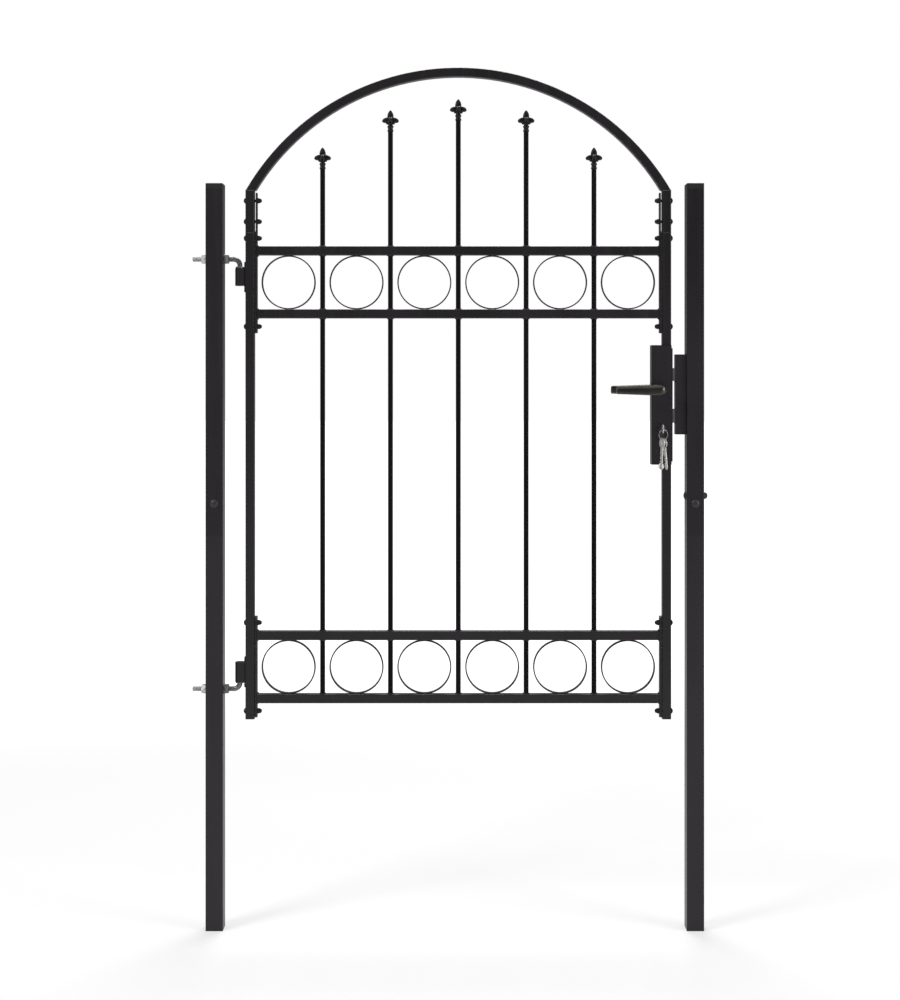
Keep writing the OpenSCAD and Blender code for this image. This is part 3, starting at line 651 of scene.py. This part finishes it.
def powder_coat(tree, settings, tone=1.0, roughness=0, cast=0, weld=0, sheen=1, colour=None):
    """Satin powder coat: orange peel and a fine grain as bump, slow clouds in tone and gloss,
    faint streaks from handling, and painted shade in recesses, which are also duller."""
    coat = colour or settings.coat
    shade = tree.noise(7, 3, (1, 1, 0.45)).between(0.3, 0.7)
    streak = tree.noise(60, 3, (1, 1, 0.05), 3.1).between(0.52, 0.75)
    speck = tree.noise(1500, 2, seed=1.7).between(0.66, 0.78)
    hollow = tree.hollow()
    film = tree.mix(shade, rgb(coat, 0.75 * tone), rgb(coat, 1.3 * tone))
    film = tree.mix(streak * 0.35, film, rgb(coat, 2.2 * tone))
    # Lighter specks over the coat; weld adds more of them, as painted glints on the weld beads.
    film = tree.mix(speck * (0.35 + weld), film, rgb(coat, 4.5 * tone))
    # Painted shade: the colour falls towards a dark tone where the surface lies in a recess.
    film = tree.mix(hollow * 0.5, film, rgb(coat, 0.35))
    gloss = settings.coat_roughness + roughness + shade * 0.07
    gloss = gloss + streak * 0.05 + hollow * 0.15 + speck * 0.05
    peel = tree.relief(tree.noise(420), settings.peel * (1 + 2.5 * cast))
    grain = tree.relief(tree.noise(2100, seed=5.0), 0.012 * MM, peel)
    if cast or weld:
        grain = tree.relief(tree.noise(760, 4, seed=2.0), 0.16 * MM * (cast + weld), grain)
    sheen = settings.coat_sheen * sheen
    tree.surface(base_color=film, roughness=gloss, normal=grain, specular_ior_level=sheen)


def cap_plastic(tree, settings):
    """Moulded plastic: an even spark-eroded grain, faint flow marks and a dull shine."""
    flow = tree.noise(28, 4, (1, 1, 0.4)).between(0.35, 0.7)
    colour = tree.mix(flow, rgb(settings.plastic, 0.85), rgb(settings.plastic, 1.25))
    grain = tree.relief(tree.noise(1300, 3), 0.03 * MM)
    tree.surface(
        base_color=colour, roughness=flow * 0.08 + 0.46, normal=grain, specular_ior_level=0.4,
    )


def plated(tree, colour, roughness=0.3, brushed=0.0, recess_shade=0.4, painted_shade_span=None):
    """Plated steel: fine crystals and clouds in tone and gloss, hair scratches, and painted shade
    in recesses. Where two places along X and a share are given, the tone falls from full at
    the first place to that share at the second, as painted shade."""
    cloud = tree.noise(90, 4).between(0.3, 0.72)
    crystal = tree.noise(1400, seed=4.0).between(0.35, 0.65)
    scratch = tree.noise(900, 2, (1, 1, 0.06), 8.0).between(0.6, 0.72)
    hollow = tree.hollow()
    film = hollow * recess_shade
    base = tree.mix(cloud, rgb(colour, 0.82), rgb(colour, 1.04))
    base = tree.mix(crystal * 0.3, base, rgb(colour, 0.9))
    # Painted shade: the tone falls between the two places along X.
    if painted_shade_span:
        start, end, left = painted_shade_span
        across = tree.place().along("X").between(start, end)
        base = tree.mix(across * (1 - cloud * 0.2), base, rgb(colour, left))
    # Painted shade in recesses: darker and less metallic there.
    base = tree.mix(film * 1.6, base, (0.06, 0.056, 0.05, 1))
    gloss = cloud * 0.1 + crystal * 0.05 + scratch * 0.08 + hollow * 0.2 + roughness
    bump = tree.relief(scratch * (0.4 + brushed) + crystal * 0.3, 0.012 * MM)
    tree.surface(base_color=base, metallic=1 - film * 0.7, roughness=gloss, normal=bump)


def lever_lacquer(tree, settings):
    """Dark bronze lacquer over cast metal: slow clouds, fine flakes and a clear top coat."""
    cloud = tree.noise(45, 3, (0.5, 1, 1)).between(0.3, 0.7)
    flake = tree.noise(2600, 1, seed=2.0).between(0.55, 0.7)
    rub = tree.noise(320, 3, (0.08, 1, 1), 6.0).between(0.5, 0.72)
    colour = tree.mix(cloud, rgb(settings.bronze, 0.8), rgb(settings.bronze, 1.25))
    colour = tree.mix(flake * 0.3, colour, rgb(settings.bronze, 1.8))
    colour = tree.mix(rub * 0.25, colour, rgb(settings.bronze, 1.5))
    tree.surface(
        base_color=colour, metallic=0.85, roughness=cloud * 0.06 + rub * 0.06 + 0.24,
        normal=tree.relief(tree.noise(300, 3), 0.03 * MM), coat_weight=0.25, coat_roughness=0.2,
        specular_ior_level=0.5,
    )


def cylinder_face(tree, settings):
    """Satin nickel lock cylinder: turned rings round the plug and a dark joint at its edge."""
    centre = middle("lock_cylinder")
    centre[2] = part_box("lock_cylinder")[1][2] - 8.5 * MM
    place = {0: tree.moved(by=tuple(-centre)), 1: (1, 0, 1)}
    radius = tree.node("ShaderNodeVectorMath", {"operation": "MULTIPLY"}, place).size()
    joint = radius.between(6.1 * MM, 6.4 * MM) * (1 - radius.between(6.7 * MM, 7.0 * MM))
    lines = radius.math("SINE", radius * (TURN / (0.35 * MM)))
    cloud = tree.noise(120, 3).between(0.3, 0.7)
    colour = tree.mix(cloud, rgb(settings.nickel, 0.12), rgb(settings.nickel, 0.2))
    colour = tree.mix(joint * 0.9, colour, (0.01, 0.01, 0.01, 1))
    bump = tree.relief(lines * 0.2 - joint, 0.05 * MM)
    tree.surface(base_color=colour, metallic=0.9, roughness=cloud * 0.1 + 0.34, normal=bump)


# ---- settings


def number(name, description, default, low=0.0, high=1.0, **kind):
    """Property for a number, whose subtype and unit kind gives."""
    return bpy.props.FloatProperty(
        name=name, description=description, default=default, min=low, max=high, **kind
    )


def metres(name, description, default, low=0.0):
    """Property for a length."""
    kind = {"subtype": "DISTANCE", "unit": "LENGTH", "precision": 5}
    return number(name, description, default, low, 10.0, **kind)


def degrees(name, description, default):
    """Property for an angle, whose default is in degrees."""
    kind = {"subtype": "ANGLE", "unit": "ROTATION"}
    return number(name, description, math.radians(default), -TURN, TURN, **kind)


def tint(name, description, default):
    """Property for a colour."""
    return bpy.props.FloatVectorProperty(
        name=name, description=description, default=default, min=0, max=1, size=3, subtype="COLOR"
    )


class GateFittings(bpy.types.PropertyGroup):
    """Sizes of the threads, rings, side plates and weld beads."""

    thread_pitch: metres("Thread Pitch", "Length of one turn of the hinge rods' thread", 1.5 * MM)
    thread_depth: metres("Thread Depth", "Depth of the hinge rods' thread", 0.45 * MM)
    bar_bead: metres("Bar Bead", "Radius of the bead where a bar meets a rail", 1.5 * MM)
    ring_bead: metres("Ring Bead", "Radius of the dab where a ring meets a rail", 1.3 * MM)
    frame_bead: metres("Frame Bead", "Radius of the beads on rail ends", 1.7 * MM)
    plate_bead: metres("Plate Bead", "Radius of the beads on the hinge eyes' plates", 1.9 * MM)
    ring_strip: metres("Ring Strip", "Thickness of the strip that rings are bent from", 2.5 * MM)
    plate_gap: metres("Plate Gap", "Gap between a side plate and its stile", 0.8 * MM)
    leg_gap: metres("Leg Gap", "Gap between a side plate and the bow's leg", 2.5 * MM)
    seam_bead: metres("Seam Bead", "Radius of the seam between the bow and its legs", 0.8 * MM)
    ripple: metres("Ripple", "Length of one ripple of a weld bead", 2.2 * MM)
    ripple_height: number("Ripple Height", "Height of a ripple against the bead's radius", 0.13)


class GateFinials(bpy.types.PropertyGroup):
    """Shape of the cast finials."""

    lobe: number("Bud Lobes", "Depth of the bud's four lobes as a share of its radius", 0.07)
    leaf_width: number("Leaf Width", "Width of the leaves against their drawn width", 1.0, 0.5, 1.4)


class GateLevers(bpy.types.PropertyGroup):
    """Shape of the lever handles."""

    elbow: metres("Elbow", "Radius of the bend between the neck and the grip", 10 * MM)
    tip_height: metres("Tip Height", "Height of the grip at its tip", 16 * MM)
    tip_round: metres("Tip Rounding", "Length over which the tip is rounded off", 2.5 * MM)
    bevel: number("Bevel", "Cut along the grip's upper outer edge against its half height", 0.66)


class GateKeys(bpy.types.PropertyGroup):
    """Places of the keys on their ring."""

    bunch_turn: degrees("Bunch Turn", "Turn of the key ring about the upright", 24)
    first_lean: degrees("First Lean", "Lean of the first hanging key", -3)
    second_lean: degrees("Second Lean", "Lean of the second hanging key", 6)
    first_place: metres("First Key", "Place of the first key across the ring", -2.4 * MM, -1.0)
    second_place: metres("Second Key", "Place of the second key across the ring", 1.7 * MM, -1.0)


class GateFinishes(bpy.types.PropertyGroup):
    """Colours and gloss of the finishes."""

    coat: tint("Powder Coat", "Colour of the powder coat", (0.0078, 0.0058, 0.0078))
    coat_roughness: number("Coat Roughness", "Roughness of the powder coat", 0.36)
    coat_sheen: number("Coat Sheen", "Strength of the powder coat's reflection", 0.4)
    peel: metres("Orange Peel", "Depth of the powder coat's orange peel", 0.05 * MM)
    plastic: tint("Cap Plastic", "Colour of the caps and foot plugs", (0.012, 0.012, 0.0125))
    zinc: tint("Zinc", "Colour of the zinc plating", (0.55, 0.56, 0.57))
    nickel: tint("Nickel", "Colour of the nickel plating", (0.42, 0.415, 0.42))
    bronze: tint("Lever Bronze", "Colour of the levers' lacquer", (0.058, 0.055, 0.049))


class GateStage(bpy.types.PropertyGroup):
    """Camera, room and lamps."""

    camera_x: metres("Camera Place", "Place of the camera along the gate", 0.4728, -5)
    camera_y: metres("Camera Distance", "Distance of the camera in front of the leaf", 3.2375)
    camera_z: metres("Camera Height", "Height of the camera above the ground", 1.105)
    lens: number("Lens", "Focal length in millimetres", 57.84, 10, 200, subtype="DISTANCE_CAMERA")
    shift: number("Shift", "Shift of the lens in heights of the picture", -0.12, -1)
    room: number("Room", "Brightness of the room for plain light", 0.42, 0, 2)
    front_room: number("Front Room", "Brightness of the room in front, in reflections", 0.12, 0, 2)
    back_room: number("Back Room", "Brightness of the room behind, in reflections", 0.28, 0, 2)
    floor: number("Floor", "Lightness of the floor", 0.55)
    floor_glow: number("Floor White", "White added to the floor where it is seen", 0.47, 0, 2)
    key_power: number("Key Lamp", "Power of the upper left lamp in watts", 70, 0, 2000)
    fill_power: number("Fill Lamp", "Power of the right lamp in watts", 40, 0, 2000)
    top_power: number("Top Lamp", "Power of the lamp above in watts", 60, 0, 2000)


GROUPS = {
    "gate_fittings": GateFittings,
    "gate_finials": GateFinials,
    "gate_levers": GateLevers,
    "gate_keys": GateKeys,
    "gate_finishes": GateFinishes,
    "gate_stage": GateStage,
}

# ---- operators


class GATE_OT_materials(bpy.types.Operator):
    """Make the finishes."""

    bl_idname = "gate.materials"
    bl_label = "Finishes"

    def execute(self, context):
        settings = context.scene.gate_finishes
        new = lambda name: Tree(bpy.data.materials.new(name))
        coats = {
            "coat_posts": {},
            "coat_lower_posts": {"tone": 1.7},
            "coat_leaf": {"tone": 0.95},
            "coat_lock": {"tone": 1.1, "roughness": 0.02},
            "coat_bars": {"tone": 0.6, "roughness": 0.1, "sheen": 0.2},
            "coat_cast": {"tone": 0.5, "roughness": -0.02, "cast": 0.5, "sheen": 0.7},
            # Much lighter than the coat: a painted highlight on the post bolts' domes.
            "coat_bolts_painted_highlight": {"tone": 3.6, "roughness": 0.02},
            # The weld beads' coat is lighter and more specked than the rest: painted glints on the
            # beads.
            "coat_weld_painted_glints": {"tone": 1.6, "roughness": -0.06, "weld": 0.5},
            # Lighter grey than the coat: a painted highlight along the bow's seams.
            "coat_seam_painted_highlight": {"colour": (0.075, 0.07, 0.07), "roughness": 0.1, "weld": 0.2},
        }
        for name, look in coats.items():
            powder_coat(new(name), settings, **look)
        cap_plastic(new("cap_plastic"), settings)
        left, right = (corner[0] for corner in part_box("hinge_post_upper"))
        # Zinc beyond the posts' inner faces is darker: painted shade on the inner nuts and bends.
        plated(new("zinc"), settings.zinc, recess_shade=0.12, painted_shade_span=(left, right, 0.26))
        plated(new("zinc_bolts"), rgb(settings.zinc, 0.4), brushed=0.6)
        plated(new("nickel"), settings.nickel, 0.28, brushed=0.3)
        plated(new("ring_steel"), rgb(settings.nickel, 0.5))
        lever_lacquer(new("lever_bronze"), settings)
        cylinder_face(new("cylinder_nickel"), settings)
        return {"FINISHED"}


class GATE_OT_finials(bpy.types.Operator):
    """Build the five cast finials."""

    bl_idname = "gate.finials"
    bl_label = "Finials"

    def execute(self, context):
        shells = []
        for bar in BARS:
            foot = middle(bar)
            foot[2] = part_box(bar)[1][2]
            shells += finial(foot, context.scene.gate_finials)
        piece("cast_finials", shells, "coat_cast", ("finials",))
        return {"FINISHED"}


class GATE_OT_hinge_rods(bpy.types.Operator):
    """Build the two threaded hinge rods."""

    bl_idname = "gate.hinge_rods"
    bl_label = "Hinge Rods"

    def execute(self, context):
        for name, up in (("top_hinge_", -1), ("bottom_hinge_", 1)):
            node = name + "bolt"
            shells = [hinge_rod(node, up, context.scene.gate_fittings)]
            piece(name + "rod", shells, "zinc", (node,), "root")
        return {"FINISHED"}


class GATE_OT_hinge_nuts(bpy.types.Operator):
    """Build the nuts and flat washers of the hinge rods."""

    bl_idname = "gate.hinge_nuts"
    bl_label = "Hinge Nuts"

    def execute(self, context):
        left, right = (corner[0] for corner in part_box("hinge_post_upper"))
        flat, nut_flats, nut_height = 2 * MM, 17 * MM, 8 * MM
        wide, narrow = 10 * MM, 8.5 * MM
        rods = (  # the pin's way, and the place and thickness of the washer on it
            ("top_hinge_bolt", -1, -18 * MM, 3 * MM), ("bottom_hinge_bolt", 1, 12 * MM, 2 * MM),
        )
        shells = []
        for node, up, seat, thick in rods:
            low, high = extent(node)
            level = (low if up > 0 else high)[2] + up * ROD_RADIUS
            for wall, out in ((left, -1), (right, 1)):
                at, axis = (wall, 0, level), (out, 0, 0)
                shells.append(washer(ROD_RADIUS + 0.3 * MM, wide, flat, at, axis))
                at = (wall + out * flat, 0, level)
                shells.append(open_nut(nut_flats, nut_height, ROD_RADIUS, at, axis))
            at = (high[0] - ROD_RADIUS, 0, level + seat)
            shells.append(washer(ROD_RADIUS + 0.2 * MM, narrow, thick, at, UP))
        piece("hinge_nuts_and_washers", shells, "zinc", ("hinge_nuts",), "root")
        return {"FINISHED"}


class GATE_OT_post_bolts(bpy.types.Operator):
    """Build the three bolts that hold the posts' halves on their sleeves."""

    bl_idname = "gate.post_bolts"
    bl_label = "Post Bolts"

    def execute(self, context):
        bolt, head_width, head_height = 8 * MM, 17 * MM, 4.5 * MM
        nut_flats, nut_hexagon, nut_height = 13 * MM, 5 * MM, 9 * MM
        shells = []
        for low, high in solids("post_bolts"):
            along = np.argmax(high - low)
            direction = np.eye(3)[along]
            head, nut = (low + high) / 2, (low + high) / 2
            head[along], nut[along] = low[along] + head_height, high[along] - nut_height
            shells += [
                dome_head(head_width, head_height, head, -direction),
                cap_nut(nut_flats, nut_hexagon, nut_height, nut, direction),
                shank(bolt, head, nut),
            ]
        # Their lighter coat is a painted highlight.
        piece("post_coach_bolts", shells, "coat_bolts_painted_highlight", ("post_bolts",), "root")
        return {"FINISHED"}


class GATE_OT_stile_bolts(bpy.types.Operator):
    """Build the twelve bolts through the stiles and their closed nuts."""

    bl_idname = "gate.stile_bolts"
    bl_label = "Stile Bolts"

    def execute(self, context):
        bolt, head_width, head_height = 6 * MM, 12 * MM, 4.4 * MM
        nut_flats, nut_hexagon, nut_height = 10 * MM, 4.5 * MM, 9 * MM
        heads, nuts = [], []
        for low, high in solids("stile_bolts"):
            out, outer, inner = outwards(low, high)
            _, y, z = (low + high) / 2
            seat = (outer - out * head_height, y, z)
            heads.append(dome_head(head_width, head_height, seat, (out, 0, 0)))
            heads.append(shank(bolt, seat, (inner, y, z)))
        for low, high in solids("stile_cap_nuts"):
            out, outer, _ = outwards(low, high)
            _, y, z = (low + high) / 2
            nuts.append(cap_nut(nut_flats, nut_hexagon, nut_height, (outer, y, z), (-out, 0, 0)))
        piece("stile_dome_bolts", heads, "coat_cast", ("stile_bolts",))
        piece("stile_dome_nuts", nuts, "coat_cast", ("stile_cap_nuts",))
        return {"FINISHED"}


class GATE_OT_rings(bpy.types.Operator):
    """Build the twelve rings of the two bands, flat strips bent round with softened edges."""

    bl_idname = "gate.rings"
    bl_label = "Rings"

    def execute(self, context):
        strip = context.scene.gate_fittings.ring_strip
        shells = []
        for low, high in solids(*RINGS):
            outer, wide = (high[0] - low[0]) / 2, high[1] - low[1]
            section = ring_profile(outer - strip, outer, wide, 0.35 * MM)
            foot = (low + high) / 2
            foot[1] = low[1]
            shells.append(turned(section, foot, (0, 1, 0), 144, closed=True))
        piece("band_rings", shells, "coat_leaf", RINGS)
        return {"FINISHED"}


class GATE_OT_side_plates(bpy.types.Operator):
    """Build the four side plates: flat bars with softened edges that stand close to the stiles
    and step away from them along the bow's legs."""

    bl_idname = "gate.side_plates"
    bl_label = "Side Plates"

    def execute(self, context):
        settings = context.scene.gate_fittings
        gap, step = settings.plate_gap, settings.leg_gap - settings.plate_gap
        step_up, step_length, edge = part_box("arch")[0][2], 4 * MM, 1.5 * MM
        shells = []
        for low, high in solids(*SIDE_PLATES):
            out, wall, face = outwards(low, high)
            z = np.linspace(low[2], high[2], 120)
            near = wall - out * (gap + step * smooth((z - step_up) / step_length))
            end = np.sqrt(np.clip(np.minimum(z - low[2], high[2] - z) / edge, 0.3, 1))
            section = pillow((high[1] - low[1]) * end, np.abs(near - face), 9, 40)
            shells.append(swept(grid((near + face) / 2, 0, z), section, (0, 1, 0)))
        piece("stile_side_plates", shells, "coat_leaf", SIDE_PLATES)
        return {"FINISHED"}


class GATE_OT_levers(bpy.types.Operator):
    """Build the two lever handles."""

    bl_idname = "gate.levers"
    bl_label = "Levers"

    def execute(self, context):
        for side in ("front", "back"):
            node = f"{side}_lever"
            shells = [lever(node, context.scene.gate_levers)]
            piece(f"{side}_handle", shells, "lever_bronze", (node,), "handle", 60)
        return {"FINISHED"}


class GATE_OT_keys(bpy.types.Operator):
    """Build the key in the lock, the two hanging keys and their ring."""

    bl_idname = "gate.keys"
    bl_label = "Keys"

    def execute(self, context):
        settings = context.scene.gate_keys
        low, high = extent("key")
        shoulder = (low + high) / 2
        shoulder[1] = low[1] + BOW_CENTRE + BOW_RADIUS
        shells = key(np.eye(3), shoulder, 22 * MM, (1.2, 2.4, 0.8))
        piece("lock_key", shells, "nickel", ("key",), crease=30)

        cos, sin = math.cos(settings.bunch_turn), math.sin(settings.bunch_turn)
        tilt = np.array([(cos, sin, 0), (-sin, cos, 0), (0, 0, 1)])
        low, high = extent("key_ring")
        hub, radius = (low + high) / 2, (high[2] - low[2] - KEY_RING_WIRE) / 2
        points, *rest = split_ring(radius, KEY_RING_WIRE)
        shells = [(points @ tilt + hub, *rest)]
        piece("split_key_ring", shells, "ring_steel", ("key_ring",), "key_bunch")

        sag = HOLE_RADIUS - KEY_RING_WIRE / 2 - 0.4 * MM
        upright = np.array([(1, 0, 0), (0, 0, -1), (0, 1, 0)])
        keys = (
            (settings.first_place, settings.first_lean, (1.6, 0.8, 2.3, 1.4, 0.9), (sin, 0, cos)),
            (settings.second_place, settings.second_lean, (0.9, 2.2, 1.3, 2.0, 1.1), None),
        )
        shells = []
        for across, lean, cuts, coin_axis in keys:
            cos, sin = math.cos(lean), math.sin(lean)
            swing = np.array([(cos, 0, sin), (0, 1, 0), (-sin, 0, cos)])
            hole = np.array([across, 0, -math.sqrt(radius**2 - across**2) - sag])
            shoulder = (hole - np.array([0, 0, HOLE_CENTRE]) @ swing) @ tilt + hub
            shells += key(upright @ swing @ tilt, shoulder, 38 * MM, cuts, coin_axis)
        piece("hanging_keys", shells, "nickel", ("spare_keys",), "key_bunch", 30)
        return {"FINISHED"}


class GATE_OT_welds(bpy.types.Operator):
    """Lay the weld beads on the leaf."""

    bl_idname = "gate.welds"
    bl_label = "Weld Beads"

    def execute(self, context):
        settings = context.scene.gate_fittings
        # The beads' lighter coat is painted glints.
        piece("bar_welds", self.bars(settings), "coat_weld_painted_glints", crease=80)
        piece("ring_welds", self.rings(settings), "coat_weld_painted_glints", crease=80)
        piece("frame_welds", self.ends(settings), "coat_weld_painted_glints", crease=80)
        # The seams' lighter grey is a painted highlight.
        piece("bow_seams", self.seams(settings), "coat_seam_painted_highlight", crease=80)
        return {"FINISHED"}

    def bars(self, settings):
        """Bead round each bar on each face of a rail that it passes."""
        turn, radius, beads = angles(44), settings.bar_bead, []
        reach = BAR_RADIUS + 0.35 * radius
        for rail in RAILS:
            low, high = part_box(rail)
            for bar in BARS:
                x, foot = middle(bar)[0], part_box(bar)[0][2]
                for level, up in faces(low, high):
                    if up < 0 and foot > low[2] - MM:
                        continue
                    z = level + up * 0.2 * radius
                    circle = grid(x + reach * np.cos(turn), reach * np.sin(turn), z)
                    beads.append(bead(circle, radius, settings, True, x + level))
        return beads

    def rings(self, settings):
        """Dabs along a ring's front and back edge where it touches a rail."""
        beads = []
        for low, high in solids(*RINGS):
            centre, width = (low[0] + high[0]) / 2, high[0] - low[0]
            x = centre + np.linspace(-5, 5, 13) * MM
            lift = ((x - centre) / width) ** 2 * width / 2
            for level, up in faces(low, high):
                for depth in (low[1], high[1]):
                    line = grid(x, depth * 0.93, level - up * lift)
                    beads.append(bead(line, settings.ring_bead, settings, seed=centre + depth))
        return beads

    def ends(self, settings):
        """Beads over and under the rails' ends and the hinge eyes' plates."""
        y, radius, beads = np.linspace(-7.2, 7.2, 19) * MM, settings.frame_bead, []
        for rail in RAILS:
            low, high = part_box(rail)
            for x, out in faces(low, high, 0):
                for level, up in faces(low, high):
                    line = grid(x - out * 0.3 * radius, y, level + up * 0.3 * radius)
                    beads.append(bead(line, radius, settings, seed=x + level))
        for eye in ("top_hinge_eye", "bottom_hinge_eye"):
            low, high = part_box(eye)
            for level, up in faces(low, high):
                line = grid(high[0] - 0.9 * MM, y * 0.85, level + up * 0.3 * MM)
                beads.append(bead(line, settings.plate_bead, settings, seed=level))
        return beads

    def seams(self, settings):
        """Closed seams round the tube where the bow meets its legs and the legs meet the stiles."""
        low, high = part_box("arch")
        tube, leg, beads = high[1] - low[1], 85 * MM, []
        loop = pillow(tube, tube, 5, 72)[0]
        for side, out in faces(low, high, 0):
            x = side - out * tube / 2
            for level, share in ((low[2] + leg, 1.0), (low[2], 0.7)):
                path = grid(x + loop[:, 0], loop[:, 1], level)
                beads.append(bead(path, settings.seam_bead * share, settings, True, x + level))
        return beads


class GATE_OT_finishes(bpy.types.Operator):
    """Give every shown part of the packed model its finish."""

    bl_idname = "gate.finishes"
    bl_label = "Finishes on the Frame"

    def execute(self, context):
        named = {
            "coat_posts": ("hinge_post_upper", "latch_post_upper", "post_sleeves"),
            "coat_lower_posts": ("hinge_post_lower", "latch_post_lower"),
            "coat_lock": (
                "lock_case", "front_cover_plate", "back_cover_plate", "lock_forend", "latch_keep",
            ),
            "coat_bars": BARS,
            "cap_plastic": ("post_caps", "post_foot_plugs"),
            "zinc_bolts": ("latch_bolt", "dead_bolt"),
            "cylinder_nickel": ("lock_cylinder",),
            "nickel": ("spindle",),
        }
        finish = {node: name for name, nodes in named.items() for node in nodes}
        for node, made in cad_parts.items():
            if not made.hide_render:
                made.data.materials.clear()
                made.data.materials.append(bpy.data.materials[finish.get(node, "coat_leaf")])
        return {"FINISHED"}


class GATE_OT_stage(bpy.types.Operator):
    """Set up the floor, the room, the lamps and the camera."""

    bl_idname = "gate.stage"
    bl_label = "Studio"

    def execute(self, context):
        settings = context.scene.gate_stage
        self.floor(settings)
        self.room(context.scene, settings)
        self.lamp("upper_left_lamp", (-2.4, -2.2, 3.4), settings.key_power, 1.2)
        self.lamp("right_lamp", (3.6, -1.6, 1.8), settings.fill_power, 1.4)
        self.lamp("top_lamp", (0.6, 1.7, 4.0), settings.top_power, 1.4)
        self.camera(context.scene, settings)
        context.scene.view_settings.view_transform = "Standard"
        return {"FINISHED"}

    def floor(self, settings):
        """Wide plain floor: matt, and white where it is seen, with the gate's shadow on it."""
        reach = 40.0
        corners = [(-reach, -reach, 0), (reach, -reach, 0), (reach, reach, 0), (-reach, reach, 0)]
        mesh = bpy.data.meshes.new("floor")
        mesh.from_pydata(corners, [], [(0, 1, 2, 3)])
        tree = Tree(bpy.data.materials.new("studio_floor"))
        matt = tree.node("ShaderNodeBsdfDiffuse", None, {"Color": rgb([settings.floor] * 3)})
        away, glow = tree.place().size(), settings.floor_glow
        white = away.between(1.2, 4.2) * (1 - glow) + glow
        strength = tree.ray("Camera") * white + tree.ray("Glossy") * glow
        light = tree.node("ShaderNodeEmission", None, {"Strength": strength})
        both = tree.node("ShaderNodeAddShader", None, {0: matt, 1: light})
        tree.node("ShaderNodeOutputMaterial", None, {"Surface": both})
        mesh.materials.append(tree.owner)
        floor = bpy.data.objects.new("floor", mesh)
        bpy.context.scene.collection.objects.link(floor)

    def room(self, scene, settings):
        """White room where it is seen and softer for plain light. In reflections it is dim in
        front, brighter behind and white overhead."""
        scene.world = bpy.data.worlds.new("studio_room")
        tree = Tree(scene.world)
        way, glossy = tree.node("ShaderNodeTexCoord", output="Generated"), tree.ray("Glossy")
        behind, overhead = way.along("Y").between(-0.1, 0.5), way.along("Z").between(0.35, 0.8)
        walls = behind * (settings.back_room - settings.front_room) + settings.front_room
        mirror = glossy * (walls | overhead) + (1 - glossy) * settings.room
        strength = tree.ray("Camera") | tree.ray("Transmission") | mirror
        light = {"Color": (1, 1, 1, 1), "Strength": strength}
        light = tree.node("ShaderNodeBackground", None, light)
        tree.node("ShaderNodeOutputWorld", None, {"Surface": light})

    def lamp(self, name, place, power, size):
        """Square soft lamp that looks at the middle of the gate."""
        light = bpy.data.lights.new(name, "AREA")
        light.energy, light.size = power, size
        lamp = bpy.data.objects.new(name, light)
        lamp.location = place
        target = Vector(middle("arch")) - Vector((0, 0, 0.55))
        lamp.rotation_euler = (target - Vector(place)).to_track_quat("-Z", "Y").to_euler()
        bpy.context.scene.collection.objects.link(lamp)

    def camera(self, scene, settings):
        """Level camera with a shifted lens, so that the posts stay upright in the picture."""
        data = bpy.data.cameras.new("camera")
        data.lens, data.sensor_width, data.shift_y = settings.lens, 36, settings.shift
        data.clip_start, data.clip_end = 0.05, 100
        camera = bpy.data.objects.new("camera", data)
        camera.location = (settings.camera_x, -settings.camera_y, settings.camera_z)
        camera.rotation_euler = (TURN / 4, 0, 0)
        scene.collection.objects.link(camera)
        scene.camera = camera


class GATE_PT_details(bpy.types.Panel):
    """Sizes, finishes and steps of the gate."""

    bl_idname = "GATE_PT_details"
    bl_label = "Garden Gate"
    bl_space_type = "VIEW_3D"
    bl_region_type = "UI"
    bl_category = "Gate"

    def draw(self, context):
        for step in OPERATORS:
            self.layout.operator(step.bl_idname)
        for name, group in GROUPS.items():
            box = self.layout.box()
            box.label(text=group.__doc__)
            for setting in group.__annotations__:
                box.prop(getattr(context.scene, name), setting)


OPERATORS = (
    GATE_OT_materials,
    GATE_OT_finials,
    GATE_OT_hinge_rods,
    GATE_OT_hinge_nuts,
    GATE_OT_post_bolts,
    GATE_OT_stile_bolts,
    GATE_OT_rings,
    GATE_OT_side_plates,
    GATE_OT_levers,
    GATE_OT_keys,
    GATE_OT_welds,
    GATE_OT_finishes,
    GATE_OT_stage,
)
CLASSES = (*GROUPS.values(), *OPERATORS, GATE_PT_details)


def register():
    """Adds the classes and their settings."""
    for made in CLASSES:
        bpy.utils.register_class(made)
    for name, group in GROUPS.items():
        setattr(bpy.types.Scene, name, bpy.props.PointerProperty(type=group))


def unregister():
    """Takes the classes and their settings away again."""
    for name in GROUPS:
        delattr(bpy.types.Scene, name)
    for made in reversed(CLASSES):
        bpy.utils.unregister_class(made)


def main():
    """Registers the add-on and runs its steps in order."""
    register()
    for step in OPERATORS:
        group, name = step.bl_idname.split(".")
        getattr(getattr(bpy.ops, group), name)()


if __name__ == "__main__":
    main()
